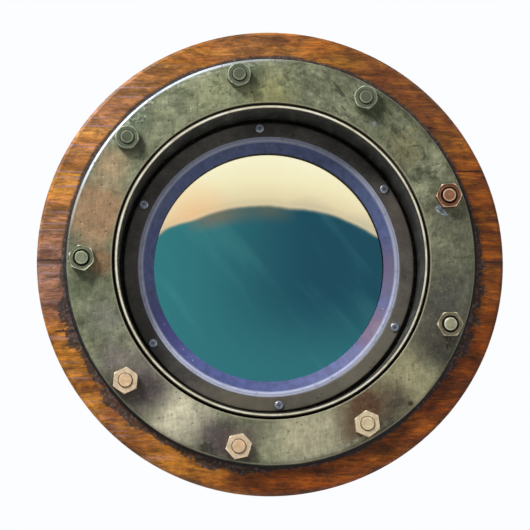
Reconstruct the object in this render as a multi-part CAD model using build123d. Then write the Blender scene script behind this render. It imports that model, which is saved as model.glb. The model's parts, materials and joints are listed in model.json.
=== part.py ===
"""Opening porthole: a bolted bronze frame on a wooden pad, with a hinged light and two swing-bolt dogs.

Millimetres. The porthole's axis lies along Y: outboard is -Y, inboard is +Y, and +Z is up.
The origin is on the axis, in the plane where the back of the wooden pad meets the cabin side.
"Radius" is the distance from the axis. Angles run from +X towards +Z.
"""

import os
from math import cos, radians, sin, sqrt

from build123d import *

# --- overall sizes ---
FLANGE_DIA = 300.0  # outboard trim ring and inboard frame flange
FLANGE_WIDTH = 38.0  # from the flange's rim to the bore of the spigot
PAD_BORDER = 22.0  # wood showing round the flange
PAD_THICKNESS = 28.0
TRIM_THICKNESS = 8.0
FRAME_FLANGE_THICKNESS = 9.0
SPIGOT_WALL = 3.0
SPIGOT_PROUD = 1.5  # the spigot's lip stands this far out of the trim ring
LIP_CHAMFER = 0.8
TRIM_TO_SPIGOT = 1.7  # open joint between the trim ring's bore and the spigot
PAD_TO_SPIGOT = 1.0
RIM_ROUND = 2.0
EDGE = 0.8  # small worn edge on castings

# --- bedding and seals ---
GASKET_THICKNESS = 1.5
GASKET_INSET = 1.0
BEAD_WIDTH = 3.2  # sealant squeezed out round the trim ring
BEAD_HEIGHT = 2.4
SEAT_SEAL_PROUD = 1.2
SEAT_GROOVE_DEPTH = 4.0

# --- frame bolts and nuts ---
BOLT_COUNT = 9
FIRST_BOLT_ANGLE = 20.0
BOLT_DIA = 10.0
HEX_ACROSS_FLATS = 1.7 * BOLT_DIA
HEAD_HEIGHT = 0.64 * BOLT_DIA
NUT_HEIGHT = 0.84 * BOLT_DIA
BOLT_PROUD = 1.4  # bolt end standing out of the nut
BOLT_HOLE_GAP = 0.3
THREAD_GAP = 0.05
NUT_EDGE_SPACE = 1.7  # nut corner to the flange's rim
NUT_CORNERS = (3, 48, 20, 52, 43, 25, 12, 37, 1)  # where one corner of each nut stopped, degrees

# --- opening light ---
LIGHT_TO_BOLTS = 4.6
LIGHT_LIFT = 1.5  # closed light's face above the frame's seat
BOSS_TO_SPIGOT = 3.0
BOSS_DEPTH = 4.0  # how far the light's boss enters the spigot
RETAINER_WIDTH = 10.6
RETAINER_THICKNESS = 4.0
GLASS_LAP = 2.4  # retaining ring's bore beyond the glass's rim
SIGHT_LAP = 9.5  # rim of the glass that is covered
GLASS_THICKNESS = 10.0
GLASS_GAP = 0.5
GLASS_DEPTH = 2.5  # glass below the boss's face
SHOULDER_THICKNESS = 3.5
SEAL_LIP_WIDTH = 3.6
SEAL_LIP_STEP = 0.8
SCREW_COUNT = 6
FIRST_SCREW_ANGLE = 34.0
SCREW_DIA = 4.0
SCREW_HEAD_DIA = 7.0
SCREW_HEAD_HEIGHT = 1.6
SCREW_LENGTH = 14.0
SCREW_TO_BOSS_RIM = 4.2

# --- hinge ---
PIN_GAP = 0.06  # running fit
HELD_GAP = 0.03  # pin held in its lugs
SIDE_GAP = 0.4  # moving faces that slide past each other
HINGE_PIN_DIA = 8.0
KNUCKLE_DIA = 15.0
KNUCKLE_LIFT = 1.0
KNUCKLE_TO_LIGHT = 2.5
KNUCKLE_SHARE = 0.572  # knuckle's share of the hinge's length
HINGE_END_SPACE = 8.5  # lug end to the nearest bolt head
ARM_THICKNESS = 9.0
HINGE_SPLIT_DIA = 2.4
PIN_HEAD_HEIGHT = 3.0
PIN_TAIL = 5.0

# --- dogs: swing bolt, washer and wing nut ---
DOG_ANGLES = {"upper": 120.0, "lower": -120.0}
DOG_REST_ANGLE = 55.0  # swung out from the closed position
DOG_DIA = 10.0
EYE_DIA = 1.4 * DOG_DIA
EYE_WIDTH = 1.1 * DOG_DIA
EYE_LIFT = 1.0
CHEEK_WIDTH = 5.5
CHEEK_TO_LIGHT = 2.0
DOG_PIN_DIA = 6.0
DOG_SPLIT_DIA = 1.8
DOG_LENGTH = 36.0  # pivot to the bolt's end
SLOT_GAP = 1.2
EAR_HALF_WIDTH = 1.4 * DOG_DIA
EAR_THICKNESS = 6.0
EAR_LIFT = 1.0
EAR_GAP = 0.6  # ear tip to the washer, with the dog swung out and its nut run down
EAR_ROOT = 19.0  # how far the ear reaches in over the light
WASHER_DIA = 1.8 * DOG_DIA
WASHER_THICKNESS = 2.0
NUT_TRAVEL = 6.0
HUB_DIA = 1.6 * DOG_DIA
HUB_HEIGHT = 10.0
WING_SPAN = 3.0 * DOG_DIA
WING_THICKNESS = 4.0
WING_RISE = 3.5

# --- fixing to a cabin side ---
PAD_SCREW_COUNT = 6
FIRST_PAD_SCREW_ANGLE = 30.0
PAD_SCREW_HOLE_DIA = 4.0
PAD_SCREW_DEPTH = 16.0

# --- derived radii ---
FLANGE_R = FLANGE_DIA / 2
BORE_R = FLANGE_R - FLANGE_WIDTH
SPIGOT_R = BORE_R + SPIGOT_WALL
TRIM_BORE_R = SPIGOT_R + TRIM_TO_SPIGOT
PAD_BORE_R = SPIGOT_R + PAD_TO_SPIGOT
PAD_R = FLANGE_R + PAD_BORDER
HEX_CORNER_R = HEX_ACROSS_FLATS / sqrt(3)
BOLT_CIRCLE_R = FLANGE_R - NUT_EDGE_SPACE - HEX_CORNER_R
BOLT_STEP = 360 / BOLT_COUNT
LIGHT_R = BOLT_CIRCLE_R - HEX_CORNER_R - LIGHT_TO_BOLTS
BOSS_R = BORE_R - BOSS_TO_SPIGOT
RETAINER_BORE_R = BOSS_R - RETAINER_WIDTH
GLASS_R = RETAINER_BORE_R - GLASS_LAP
POCKET_R = GLASS_R + GLASS_GAP
SIGHT_R = GLASS_R - SIGHT_LAP
SCREW_CIRCLE_R = BOSS_R - SCREW_TO_BOSS_RIM
SEAT_SEAL_R = (BORE_R + LIGHT_R) / 2
SEAT_GROOVE_WIDTH = (LIGHT_R - BORE_R) / 2
PAD_SCREW_CIRCLE_R = FLANGE_R + 11.0

# --- derived places along the axis ---
PAD_FRONT = -PAD_THICKNESS
TRIM_BACK = PAD_FRONT - GASKET_THICKNESS
TRIM_FRONT = TRIM_BACK - TRIM_THICKNESS
SPIGOT_FRONT = TRIM_FRONT - SPIGOT_PROUD
SEAT = FRAME_FLANGE_THICKNESS
LIGHT_FACE = SEAT + LIGHT_LIFT
BOSS_FACE = LIGHT_FACE - BOSS_DEPTH
RETAINER_FACE = BOSS_FACE - RETAINER_THICKNESS
GLASS_FRONT = BOSS_FACE + GLASS_DEPTH
GLASS_BACK = GLASS_FRONT + GLASS_THICKNESS
POCKET_FLOOR = GLASS_BACK + GASKET_THICKNESS
LIGHT_BACK = POCKET_FLOOR + SHOULDER_THICKNESS

# --- derived hinge ---
KNUCKLE_R = KNUCKLE_DIA / 2
HINGE_X = LIGHT_R + KNUCKLE_TO_LIGHT + KNUCKLE_R
HINGE_Y = SEAT + KNUCKLE_LIFT + KNUCKLE_R
BOLT_GAP_HALF = BOLT_CIRCLE_R * sin(radians(BOLT_STEP / 2)) - HEX_CORNER_R
HINGE_HALF = BOLT_GAP_HALF - HINGE_END_SPACE
KNUCKLE_HALF = KNUCKLE_SHARE * HINGE_HALF
LUG_INNER = KNUCKLE_HALF + SIDE_GAP

# --- derived dogs ---
EYE_R = EYE_DIA / 2
DOG_X = LIGHT_R + CHEEK_TO_LIGHT + EYE_R
DOG_Y = SEAT + EYE_LIFT + EYE_R
CHEEK_INNER = EYE_WIDTH / 2 + SIDE_GAP
CHEEK_OUTER = CHEEK_INNER + CHEEK_WIDTH
EAR_BOTTOM = DOG_Y + EYE_R + EAR_LIFT
EAR_TOP = EAR_BOTTOM + EAR_THICKNESS
SLOT_HALF = DOG_DIA / 2 + SLOT_GAP
WASHER_TIGHT = EAR_TOP + SIDE_GAP - DOG_Y  # pivot to the washer, run down on the ear
WASHER_REACH = WASHER_TIGHT + NUT_TRAVEL  # pivot to the washer at rest
REST_SIN = sin(radians(DOG_REST_ANGLE))
REST_COS = cos(radians(DOG_REST_ANGLE))
EAR_TIP = DOG_X + (WASHER_TIGHT - EAR_GAP - (EAR_TOP - DOG_Y) * REST_COS) / REST_SIN
HUB_REACH = WASHER_REACH + WASHER_THICKNESS + SIDE_GAP

ALONG_X = Rot(0, 90, 0)  # lays a piece built upwards along +X
ALONG_Y = Rot(-90, 0, 0)  # lays a piece built upwards along +Y


def ring(*outline):
    """A solid of revolution about the porthole's axis from (radius, y) corners."""
    return revolve(make_face(Polyline(*outline, close=True)), Axis.Y)


def around(piece, angle):
    """The piece turned about the porthole's axis."""
    return Rot(0, -angle, 0) * piece


def cylinder_y(radius, start, end, x=0.0):
    """A cylinder along Y between two heights, at a distance from the axis."""
    return Pos(x, (start + end) / 2, 0) * ALONG_Y * Cylinder(radius, end - start)


def box_between(low, high):
    """A block between two opposite corners."""
    centre = [(a + b) / 2 for a, b in zip(low, high)]
    size = [b - a for a, b in zip(low, high)]
    return Pos(*centre) * Box(*size)


def bolt_angles():
    return [FIRST_BOLT_ANGLE + BOLT_STEP * i for i in range(BOLT_COUNT)]


def screw_angles():
    return [FIRST_SCREW_ANGLE + 360 / SCREW_COUNT * i for i in range(SCREW_COUNT)]


def bolt_holes(start, end, gap=BOLT_HOLE_GAP):
    """The frame bolts' holes, all the way round."""
    hole = cylinder_y(BOLT_DIA / 2 + gap, start, end, BOLT_CIRCLE_R)
    return [around(hole, angle) for angle in bolt_angles()]


def chamfered_hexagon(height, both_ends=True):
    """A hexagonal bar standing on z = 0 with its corners turned off to a cone."""
    corner_drop = 0.12 * HEX_ACROSS_FLATS
    bar = extrude(RegularPolygon(HEX_CORNER_R, 6), height)
    turned = Pos(0, 0, height / 2) * Cylinder(HEX_CORNER_R, height)
    turned = chamfer(turned.edges().group_by(Axis.Z)[-1], corner_drop * 0.5, corner_drop)
    if both_ends:
        turned = chamfer(turned.edges().group_by(Axis.Z)[0], corner_drop * 0.5, corner_drop)
    return bar & turned


# --- wooden pad ---


def pad_half(side):
    """Half of the pad ring, split along its horizontal plank joint. side is +1 above, -1 below."""
    recess_r = FLANGE_R + 1.0
    pad = ring(
        (PAD_BORE_R, -GASKET_THICKNESS),
        (recess_r, -GASKET_THICKNESS),
        (recess_r, 0),
        (PAD_R, 0),
        (PAD_R, PAD_FRONT + 3 * EDGE),
        (PAD_R - 3 * EDGE, PAD_FRONT),
        (PAD_BORE_R, PAD_FRONT),
    )
    pad -= bolt_holes(PAD_FRONT - 1, 1)
    pilot = cylinder_y(PAD_SCREW_HOLE_DIA / 2, -PAD_SCREW_DEPTH, 1, PAD_SCREW_CIRCLE_R)
    for i in range(PAD_SCREW_COUNT):
        pad -= around(pilot, FIRST_PAD_SCREW_ANGLE + 360 / PAD_SCREW_COUNT * i)
    reach = PAD_R + 1
    keep = box_between((-reach, PAD_FRONT - 1, min(0, side * reach)), (reach, 1, max(0, side * reach)))
    return pad & keep


# --- outboard trim ring and bedding ---


def trim_ring():
    body = ring(
        (TRIM_BORE_R, TRIM_BACK),
        (FLANGE_R, TRIM_BACK),
        (FLANGE_R, TRIM_FRONT),
        (TRIM_BORE_R + EDGE, TRIM_FRONT),
        (TRIM_BORE_R, TRIM_FRONT + EDGE),
    )
    front_circles = body.edges().filter_by(GeomType.CIRCLE).group_by(Axis.Y)[0]
    body = fillet(front_circles.sort_by(SortBy.RADIUS)[-1], RIM_ROUND)
    return body - bolt_holes(TRIM_FRONT - 1, TRIM_BACK + 1)


def trim_bedding_seal():
    """Bedding compound under the trim ring, with the bead that squeezed out round it."""
    body = ring(
        (TRIM_BORE_R + GASKET_INSET, PAD_FRONT),
        (FLANGE_R + BEAD_WIDTH, PAD_FRONT),
        (FLANGE_R + BEAD_WIDTH / 2, TRIM_BACK - BEAD_HEIGHT / 2),
        (FLANGE_R, TRIM_BACK - BEAD_HEIGHT),
        (FLANGE_R, TRIM_BACK),
        (TRIM_BORE_R + GASKET_INSET, TRIM_BACK),
    )
    return body - bolt_holes(TRIM_BACK - 1, PAD_FRONT + 1)


# --- main frame ---


def main_frame():
    """Spigot, inboard flange, hinge lugs and dog cheeks, cast in one piece."""
    groove_inner = SEAT_SEAL_R - SEAT_GROOVE_WIDTH / 2
    groove_outer = SEAT_SEAL_R + SEAT_GROOVE_WIDTH / 2
    body = ring(
        (BORE_R, SPIGOT_FRONT + EDGE / 4),
        (BORE_R + EDGE / 4, SPIGOT_FRONT),
        (SPIGOT_R - LIP_CHAMFER, SPIGOT_FRONT),
        (SPIGOT_R, SPIGOT_FRONT + LIP_CHAMFER),
        (SPIGOT_R, 0),
        (FLANGE_R, 0),
        (FLANGE_R, SEAT - RIM_ROUND),
        (FLANGE_R - RIM_ROUND, SEAT),
        (groove_outer, SEAT),
        (groove_outer, SEAT - SEAT_GROOVE_DEPTH),
        (groove_inner, SEAT - SEAT_GROOVE_DEPTH),
        (groove_inner, SEAT),
        (BORE_R + EDGE, SEAT),
        (BORE_R, SEAT - EDGE),
    )
    body -= bolt_holes(-1, SEAT + 1)
    body += [Pos(0, 0, side * (LUG_INNER + HINGE_HALF) / 2) * hinge_lug() for side in (-1, 1)]
    body -= Pos(HINGE_X, HINGE_Y, 0) * Cylinder(HINGE_PIN_DIA / 2 + HELD_GAP, 3 * HINGE_HALF)
    for angle in DOG_ANGLES.values():
        body += [around(Pos(0, 0, side * (CHEEK_INNER + CHEEK_OUTER) / 2) * cheek(), angle) for side in (-1, 1)]
        pin_hole = Pos(DOG_X, DOG_Y, 0) * Cylinder(DOG_PIN_DIA / 2 + HELD_GAP, 3 * CHEEK_OUTER)
        body -= around(pin_hole, angle)
    return body


def upright(x, y, radius, foot, width):
    """A round-topped upright plate on the frame's flange, across a pin along Z."""
    post = box_between((x - radius, SEAT - EDGE, -width / 2), (x + radius, y, width / 2))
    flare = box_between((x - radius - foot, SEAT - EDGE, -width / 2), (x + radius, SEAT + EDGE, width / 2))
    return post + flare + Pos(x, y, 0) * Cylinder(radius, width)


def hinge_lug():
    return upright(HINGE_X, HINGE_Y, KNUCKLE_R, 0.5, HINGE_HALF - LUG_INNER)


def cheek():
    return upright(DOG_X, DOG_Y, EYE_R, 0.5, CHEEK_WIDTH)


def frame_gasket():
    """Gasket in the pad's recess, under the frame's flange."""
    body = ring(
        (PAD_BORE_R + GASKET_INSET, -GASKET_THICKNESS),
        (FLANGE_R - GASKET_INSET, -GASKET_THICKNESS),
        (FLANGE_R - GASKET_INSET, 0),
        (PAD_BORE_R + GASKET_INSET, 0),
    )
    return body - bolt_holes(-GASKET_THICKNESS - 1, 1)


def seat_seal():
    """Rubber ring in the frame's groove, with a rounded crown that the light closes on."""
    half = SEAT_GROOVE_WIDTH / 2
    top = SEAT + SEAT_SEAL_PROUD
    section = make_face(
        Polyline(
            (SEAT_SEAL_R - half, SEAT),
            (SEAT_SEAL_R - half, SEAT - SEAT_GROOVE_DEPTH),
            (SEAT_SEAL_R + half, SEAT - SEAT_GROOVE_DEPTH),
            (SEAT_SEAL_R + half, SEAT),
        )
        + ThreePointArc((SEAT_SEAL_R + half, SEAT), (SEAT_SEAL_R, top), (SEAT_SEAL_R - half, SEAT))
    )
    return revolve(section, Axis.Y)


# --- frame bolts and nuts ---


def frame_bolt():
    """Hexagon-headed bolt: head inboard on the frame's flange, end outboard."""
    head = Pos(0, SEAT, 0) * ALONG_Y * chamfered_hexagon(HEAD_HEIGHT, both_ends=False)
    end = TRIM_FRONT - NUT_HEIGHT - BOLT_PROUD
    shank = cylinder_y(BOLT_DIA / 2, end, SEAT)
    shank = chamfer(shank.edges().group_by(Axis.Y)[0], EDGE)
    return head + shank


def frame_nut():
    """Hexagon nut on the trim ring, with a countersunk bore."""
    nut = chamfered_hexagon(NUT_HEIGHT) - Cylinder(BOLT_DIA / 2 + THREAD_GAP, 3 * NUT_HEIGHT)
    sink = EDGE + THREAD_GAP
    nut -= Pos(0, 0, sink / 2) * Cone(BOLT_DIA / 2 + THREAD_GAP + sink, BOLT_DIA / 2 + THREAD_GAP, sink)
    return Pos(0, TRIM_FRONT - NUT_HEIGHT, 0) * ALONG_Y * nut


# --- opening light ---


def light_frame():
    """Ring casting that carries the glass, with its hinge knuckle and two slotted ears."""
    body = ring(
        (POCKET_R, BOSS_FACE),
        (BOSS_R - EDGE, BOSS_FACE),
        (BOSS_R, BOSS_FACE + EDGE),
        (BOSS_R, LIGHT_FACE),
        (LIGHT_R - EDGE, LIGHT_FACE),
        (LIGHT_R, LIGHT_FACE + EDGE),
        (LIGHT_R, LIGHT_BACK - RIM_ROUND),
        (LIGHT_R - RIM_ROUND, LIGHT_BACK),
        (SIGHT_R + SHOULDER_THICKNESS, LIGHT_BACK),
        (SIGHT_R, LIGHT_BACK - SHOULDER_THICKNESS + EDGE),
        (SIGHT_R, POCKET_FLOOR),
        (POCKET_R, POCKET_FLOOR),
    )
    body += [around(ear(), angle) for angle in DOG_ANGLES.values()]
    body += hinge_arm()
    body -= Pos(HINGE_X, HINGE_Y, 0) * Cylinder(HINGE_PIN_DIA / 2 + PIN_GAP, 3 * HINGE_HALF)
    screw_hole = cylinder_y(
        SCREW_DIA / 2 + THREAD_GAP, BOSS_FACE - 1, RETAINER_FACE + SCREW_LENGTH + EDGE, SCREW_CIRCLE_R
    )
    return body - [around(screw_hole, angle) for angle in screw_angles()]


def ear():
    """A slotted ear that the dog's swing bolt drops into."""
    root = LIGHT_R - EAR_ROOT
    plate = box_between((root, EAR_BOTTOM, -EAR_HALF_WIDTH), (EAR_TIP, EAR_TOP, EAR_HALF_WIDTH))
    plate = fillet(plate.edges().filter_by(Axis.Y), 2 * EDGE)
    riser_end = sqrt(LIGHT_R**2 - EAR_HALF_WIDTH**2)
    riser = box_between(
        (root, LIGHT_BACK - 2 * RIM_ROUND, -EAR_HALF_WIDTH), (riser_end, EAR_BOTTOM + EDGE, EAR_HALF_WIDTH)
    )
    slot = cylinder_y(SLOT_HALF, EAR_BOTTOM - 1, EAR_TOP + 1, DOG_X)
    slot += box_between((DOG_X, EAR_BOTTOM - 1, -SLOT_HALF), (EAR_TIP + 1, EAR_TOP + 1, SLOT_HALF))
    return plate + riser - slot


def hinge_arm():
    """Arm from the light's rim to the knuckle round the hinge pin."""
    half = ARM_THICKNESS / 2
    arm = box_between(
        (BOSS_R + EDGE, HINGE_Y - half, -KNUCKLE_HALF), (HINGE_X, HINGE_Y + half, KNUCKLE_HALF)
    )
    return arm + Pos(HINGE_X, HINGE_Y, 0) * Cylinder(KNUCKLE_R, 2 * KNUCKLE_HALF)


def retaining_ring():
    """Ring that holds the glass in, screwed to the boss from outboard."""
    body = ring(
        (RETAINER_BORE_R, BOSS_FACE),
        (BOSS_R, BOSS_FACE),
        (BOSS_R, RETAINER_FACE + EDGE),
        (BOSS_R - EDGE, RETAINER_FACE),
        (RETAINER_BORE_R + EDGE / 2, RETAINER_FACE),
        (RETAINER_BORE_R, RETAINER_FACE + EDGE / 2),
    )
    hole = cylinder_y(SCREW_DIA / 2 + BOLT_HOLE_GAP, RETAINER_FACE - 1, BOSS_FACE + 1, SCREW_CIRCLE_R)
    return body - [around(hole, angle) for angle in screw_angles()]


def retaining_screw():
    """Small domed screw with a cross recess."""
    shank = cylinder_y(SCREW_DIA / 2, RETAINER_FACE, RETAINER_FACE + SCREW_LENGTH)
    head = cylinder_y(SCREW_HEAD_DIA / 2, RETAINER_FACE - SCREW_HEAD_HEIGHT, RETAINER_FACE)
    head = fillet(head.edges().group_by(Axis.Y)[0], 0.7 * SCREW_HEAD_HEIGHT)
    slot_depth = 0.6 * SCREW_HEAD_HEIGHT
    slot = Pos(0, RETAINER_FACE - SCREW_HEAD_HEIGHT, 0) * Box(0.6 * SCREW_HEAD_DIA, 2 * slot_depth, 1.0)
    return head + shank - slot - Rot(0, 90, 0) * slot


def glazing_seal():
    """Soft ring that beds the glass: an outer lip, then a flank sloping down to the sight line."""
    lip_inner = RETAINER_BORE_R - SEAL_LIP_WIDTH
    lip_top = RETAINER_FACE + EDGE
    return ring(
        (SIGHT_R, GLASS_FRONT),
        (POCKET_R, GLASS_FRONT),
        (POCKET_R, BOSS_FACE),
        (RETAINER_BORE_R, BOSS_FACE),
        (RETAINER_BORE_R, lip_top),
        (lip_inner, lip_top),
        (lip_inner, lip_top + SEAL_LIP_STEP),
        (SIGHT_R, GLASS_FRONT - EDGE),
    )


def glass_pane():
    pane = cylinder_y(GLASS_R, GLASS_FRONT, GLASS_BACK)
    return chamfer(pane.edges().filter_by(GeomType.CIRCLE), EDGE)


def glass_back_gasket():
    return ring(
        (SIGHT_R + EDGE, GLASS_BACK),
        (GLASS_R - EDGE, GLASS_BACK),
        (GLASS_R - EDGE, POCKET_FLOOR),
        (SIGHT_R + EDGE, POCKET_FLOOR),
    )


# --- pins ---


def headed_pin(diameter, half_length, cross_hole_dia):
    """A pin along Z with a round head above its lugs and a cross hole below them."""
    head_r = 0.8 * diameter
    bottom = -half_length - PIN_TAIL
    shank = Pos(0, 0, (half_length + bottom) / 2) * Cylinder(diameter / 2, half_length - bottom)
    shank = chamfer(shank.edges().group_by(Axis.Z)[0], EDGE)
    head = Pos(0, 0, half_length + PIN_HEAD_HEIGHT / 2) * Cylinder(head_r, PIN_HEAD_HEIGHT)
    head = fillet(head.edges().group_by(Axis.Z)[-1], EDGE)
    cross = Pos(0, 0, -half_length - PIN_TAIL / 2) * ALONG_X * Cylinder(cross_hole_dia / 2, 4 * diameter)
    return shank + head - cross


def split_pin(pin_dia, half_length, diameter):
    """Split pin through a headed pin's cross hole, with its eye at one end."""
    leg = ALONG_X * Cylinder(diameter / 2 - THREAD_GAP, 2 * pin_dia)
    eye = Pos(pin_dia + diameter, 0, 0) * Torus(diameter, 0.4 * diameter)
    return Pos(0, 0, -half_length - PIN_TAIL / 2) * (leg + eye)


def hinge_place(piece):
    return Pos(HINGE_X, HINGE_Y, 0) * piece


def dog_place(piece, side):
    return around(Pos(DOG_X, DOG_Y, 0) * piece, DOG_ANGLES[side])


def swung_out(piece, side):
    """A dog piece built along +Y from its pivot, swung out to where it rests."""
    return dog_place(Rot(0, 0, -DOG_REST_ANGLE) * piece, side)


# --- dogs ---


def swing_bolt():
    """Eye bolt that pivots between the frame's cheeks."""
    shank = cylinder_y(DOG_DIA / 2, 0, DOG_LENGTH)
    shank = chamfer(shank.edges().group_by(Axis.Y)[-1], EDGE)
    eye = Cylinder(EYE_R, EYE_WIDTH)
    eye = chamfer(eye.edges().filter_by(GeomType.CIRCLE), EDGE)
    return shank + eye - Cylinder(DOG_PIN_DIA / 2 + PIN_GAP, 2 * EYE_WIDTH)


def dog_washer():
    washer = cylinder_y(WASHER_DIA / 2, WASHER_REACH, WASHER_REACH + WASHER_THICKNESS)
    return washer - cylinder_y(DOG_DIA / 2 + SIDE_GAP, 0, DOG_LENGTH)


def wing_nut():
    """Wing nut with its wings across the pivot pin's direction."""
    base = HUB_REACH
    top = base + HUB_HEIGHT
    hub = cylinder_y(HUB_DIA / 2, base, top)
    hub = chamfer(hub.edges().filter_by(GeomType.CIRCLE), EDGE)
    wings = box_between(
        (-WING_THICKNESS / 2, base + 2 * EDGE, -WING_SPAN / 2), (WING_THICKNESS / 2, top + WING_RISE, WING_SPAN / 2)
    )
    wings = fillet(wings.edges().filter_by(Axis.X), 3.0)
    dip = cylinder_y(HUB_DIA / 2 + EDGE, top - EDGE, top + 2 * WING_RISE)
    return hub + (wings - dip) - cylinder_y(DOG_DIA / 2 + THREAD_GAP, 0, 3 * DOG_LENGTH)


def all_nodes():
    """Every separate piece of the porthole by name."""
    nodes = {
        "pad_upper": pad_half(1),
        "pad_lower": pad_half(-1),
        "trim_ring": trim_ring(),
        "trim_bedding_seal": trim_bedding_seal(),
        "main_frame": main_frame(),
        "frame_gasket": frame_gasket(),
        "seat_seal": seat_seal(),
        "light_frame": light_frame(),
        "retaining_ring": retaining_ring(),
        "glazing_seal": glazing_seal(),
        "glass_pane": glass_pane(),
        "glass_back_gasket": glass_back_gasket(),
        "hinge_pin": hinge_place(headed_pin(HINGE_PIN_DIA, HINGE_HALF, HINGE_SPLIT_DIA)),
        "hinge_split_pin": hinge_place(split_pin(HINGE_PIN_DIA, HINGE_HALF, HINGE_SPLIT_DIA)),
    }
    for number, (angle, corner) in enumerate(zip(bolt_angles(), NUT_CORNERS), start=1):
        centre = Pos(BOLT_CIRCLE_R * cos(radians(angle)), 0, BOLT_CIRCLE_R * sin(radians(angle)))
        nodes[f"frame_bolt_{number}"] = centre * frame_bolt()
        nodes[f"frame_nut_{number}"] = centre * around(frame_nut(), corner)
    for number, angle in enumerate(screw_angles(), start=1):
        nodes[f"retaining_screw_{number}"] = around(Pos(SCREW_CIRCLE_R, 0, 0) * retaining_screw(), angle)
    for side in DOG_ANGLES:
        nodes[f"dog_pin_{side}"] = dog_place(headed_pin(DOG_PIN_DIA, CHEEK_OUTER, DOG_SPLIT_DIA), side)
        nodes[f"dog_split_pin_{side}"] = dog_place(split_pin(DOG_PIN_DIA, CHEEK_OUTER, DOG_SPLIT_DIA), side)
        nodes[f"swing_bolt_{side}"] = swung_out(swing_bolt(), side)
        nodes[f"dog_washer_{side}"] = swung_out(dog_washer(), side)
        nodes[f"wing_nut_{side}"] = swung_out(wing_nut(), side)
    return nodes


os.makedirs("parts", exist_ok=True)
for name, solid in all_nodes().items():
    export_step(solid, f"parts/{name}.step")
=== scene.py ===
"""Looks of the opening porthole: weathered bronze on a varnished wooden pad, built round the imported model."""

import json
import logging
import math
from dataclasses import dataclass, field
from enum import Enum
from typing import Dict, List, Optional, Sequence, Tuple, Union

import bpy
import numpy as np
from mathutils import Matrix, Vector


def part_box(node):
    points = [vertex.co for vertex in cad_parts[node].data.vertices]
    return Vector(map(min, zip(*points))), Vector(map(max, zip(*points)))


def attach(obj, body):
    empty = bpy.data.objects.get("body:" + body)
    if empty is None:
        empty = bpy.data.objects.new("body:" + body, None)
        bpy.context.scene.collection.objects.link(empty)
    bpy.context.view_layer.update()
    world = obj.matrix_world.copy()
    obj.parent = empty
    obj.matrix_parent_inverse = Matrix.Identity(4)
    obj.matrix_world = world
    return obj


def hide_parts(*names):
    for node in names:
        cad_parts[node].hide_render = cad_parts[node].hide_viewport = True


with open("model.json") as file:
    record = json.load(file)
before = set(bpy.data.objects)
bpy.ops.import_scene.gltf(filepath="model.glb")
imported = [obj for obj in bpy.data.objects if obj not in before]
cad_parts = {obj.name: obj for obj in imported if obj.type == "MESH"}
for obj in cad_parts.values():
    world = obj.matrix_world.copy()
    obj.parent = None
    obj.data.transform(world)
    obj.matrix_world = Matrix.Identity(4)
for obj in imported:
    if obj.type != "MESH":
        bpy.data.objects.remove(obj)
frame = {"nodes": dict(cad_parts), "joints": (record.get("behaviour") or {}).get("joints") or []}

log = logging.getLogger("porthole")

MM = 0.001
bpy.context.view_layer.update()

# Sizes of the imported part, in metres. The first three and the boss's are radii.
TRIM_BORE = 116.7 * MM
SPIGOT_BORE = 112.0 * MM
SIGHT_RADIUS = 86.47 * MM
BOSS_RADIUS = 113.0 * MM
BOSS_PLANE = 11.8 * MM
BOLT_HEAD = 6.4 * MM
BOLT_RADIUS = 5.0 * MM
NUT_FLATS = 17.0 * MM

# How far out marks reach on a nut, and the circle that the flange's strokes lie on, in metres.
NUT_FACE = 11.05 * MM
STROKE_CIRCLE = 134.0 * MM

# Circles that rows of patches are laid on, in millimetres as in the rows.
BOLT_CIRCLE = 138.5
TRIM_MIDDLE = 133.0
WOOD_MIDDLE = 162.0

CREAM_NUT = 8

Colour = Tuple[float, float, float]
Pair = Tuple[float, float]
Steps = Tuple[int, int, int]
Material = bpy.types.Material
Socket = bpy.types.NodeSocket
Feed = Union[float, Sequence[float], Socket]


def tone(red: int, green: int, blue: int) -> Colour:
    """Turn a display colour of 0 to 255 steps into the linear colour that shaders take."""
    steps = np.array([red, green, blue]) / 255
    linear = np.where(steps <= 0.04045, steps / 12.92, ((steps + 0.055) / 1.055) ** 2.4)
    return tuple(float(part) for part in linear)


def on_circle(radius: float, degrees: float) -> Pair:
    """Return the x and z of a place on a circle about the porthole's axis."""
    return radius * math.cos(math.radians(degrees)), radius * math.sin(math.radians(degrees))


# --- wiring shader nodes ---


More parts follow.
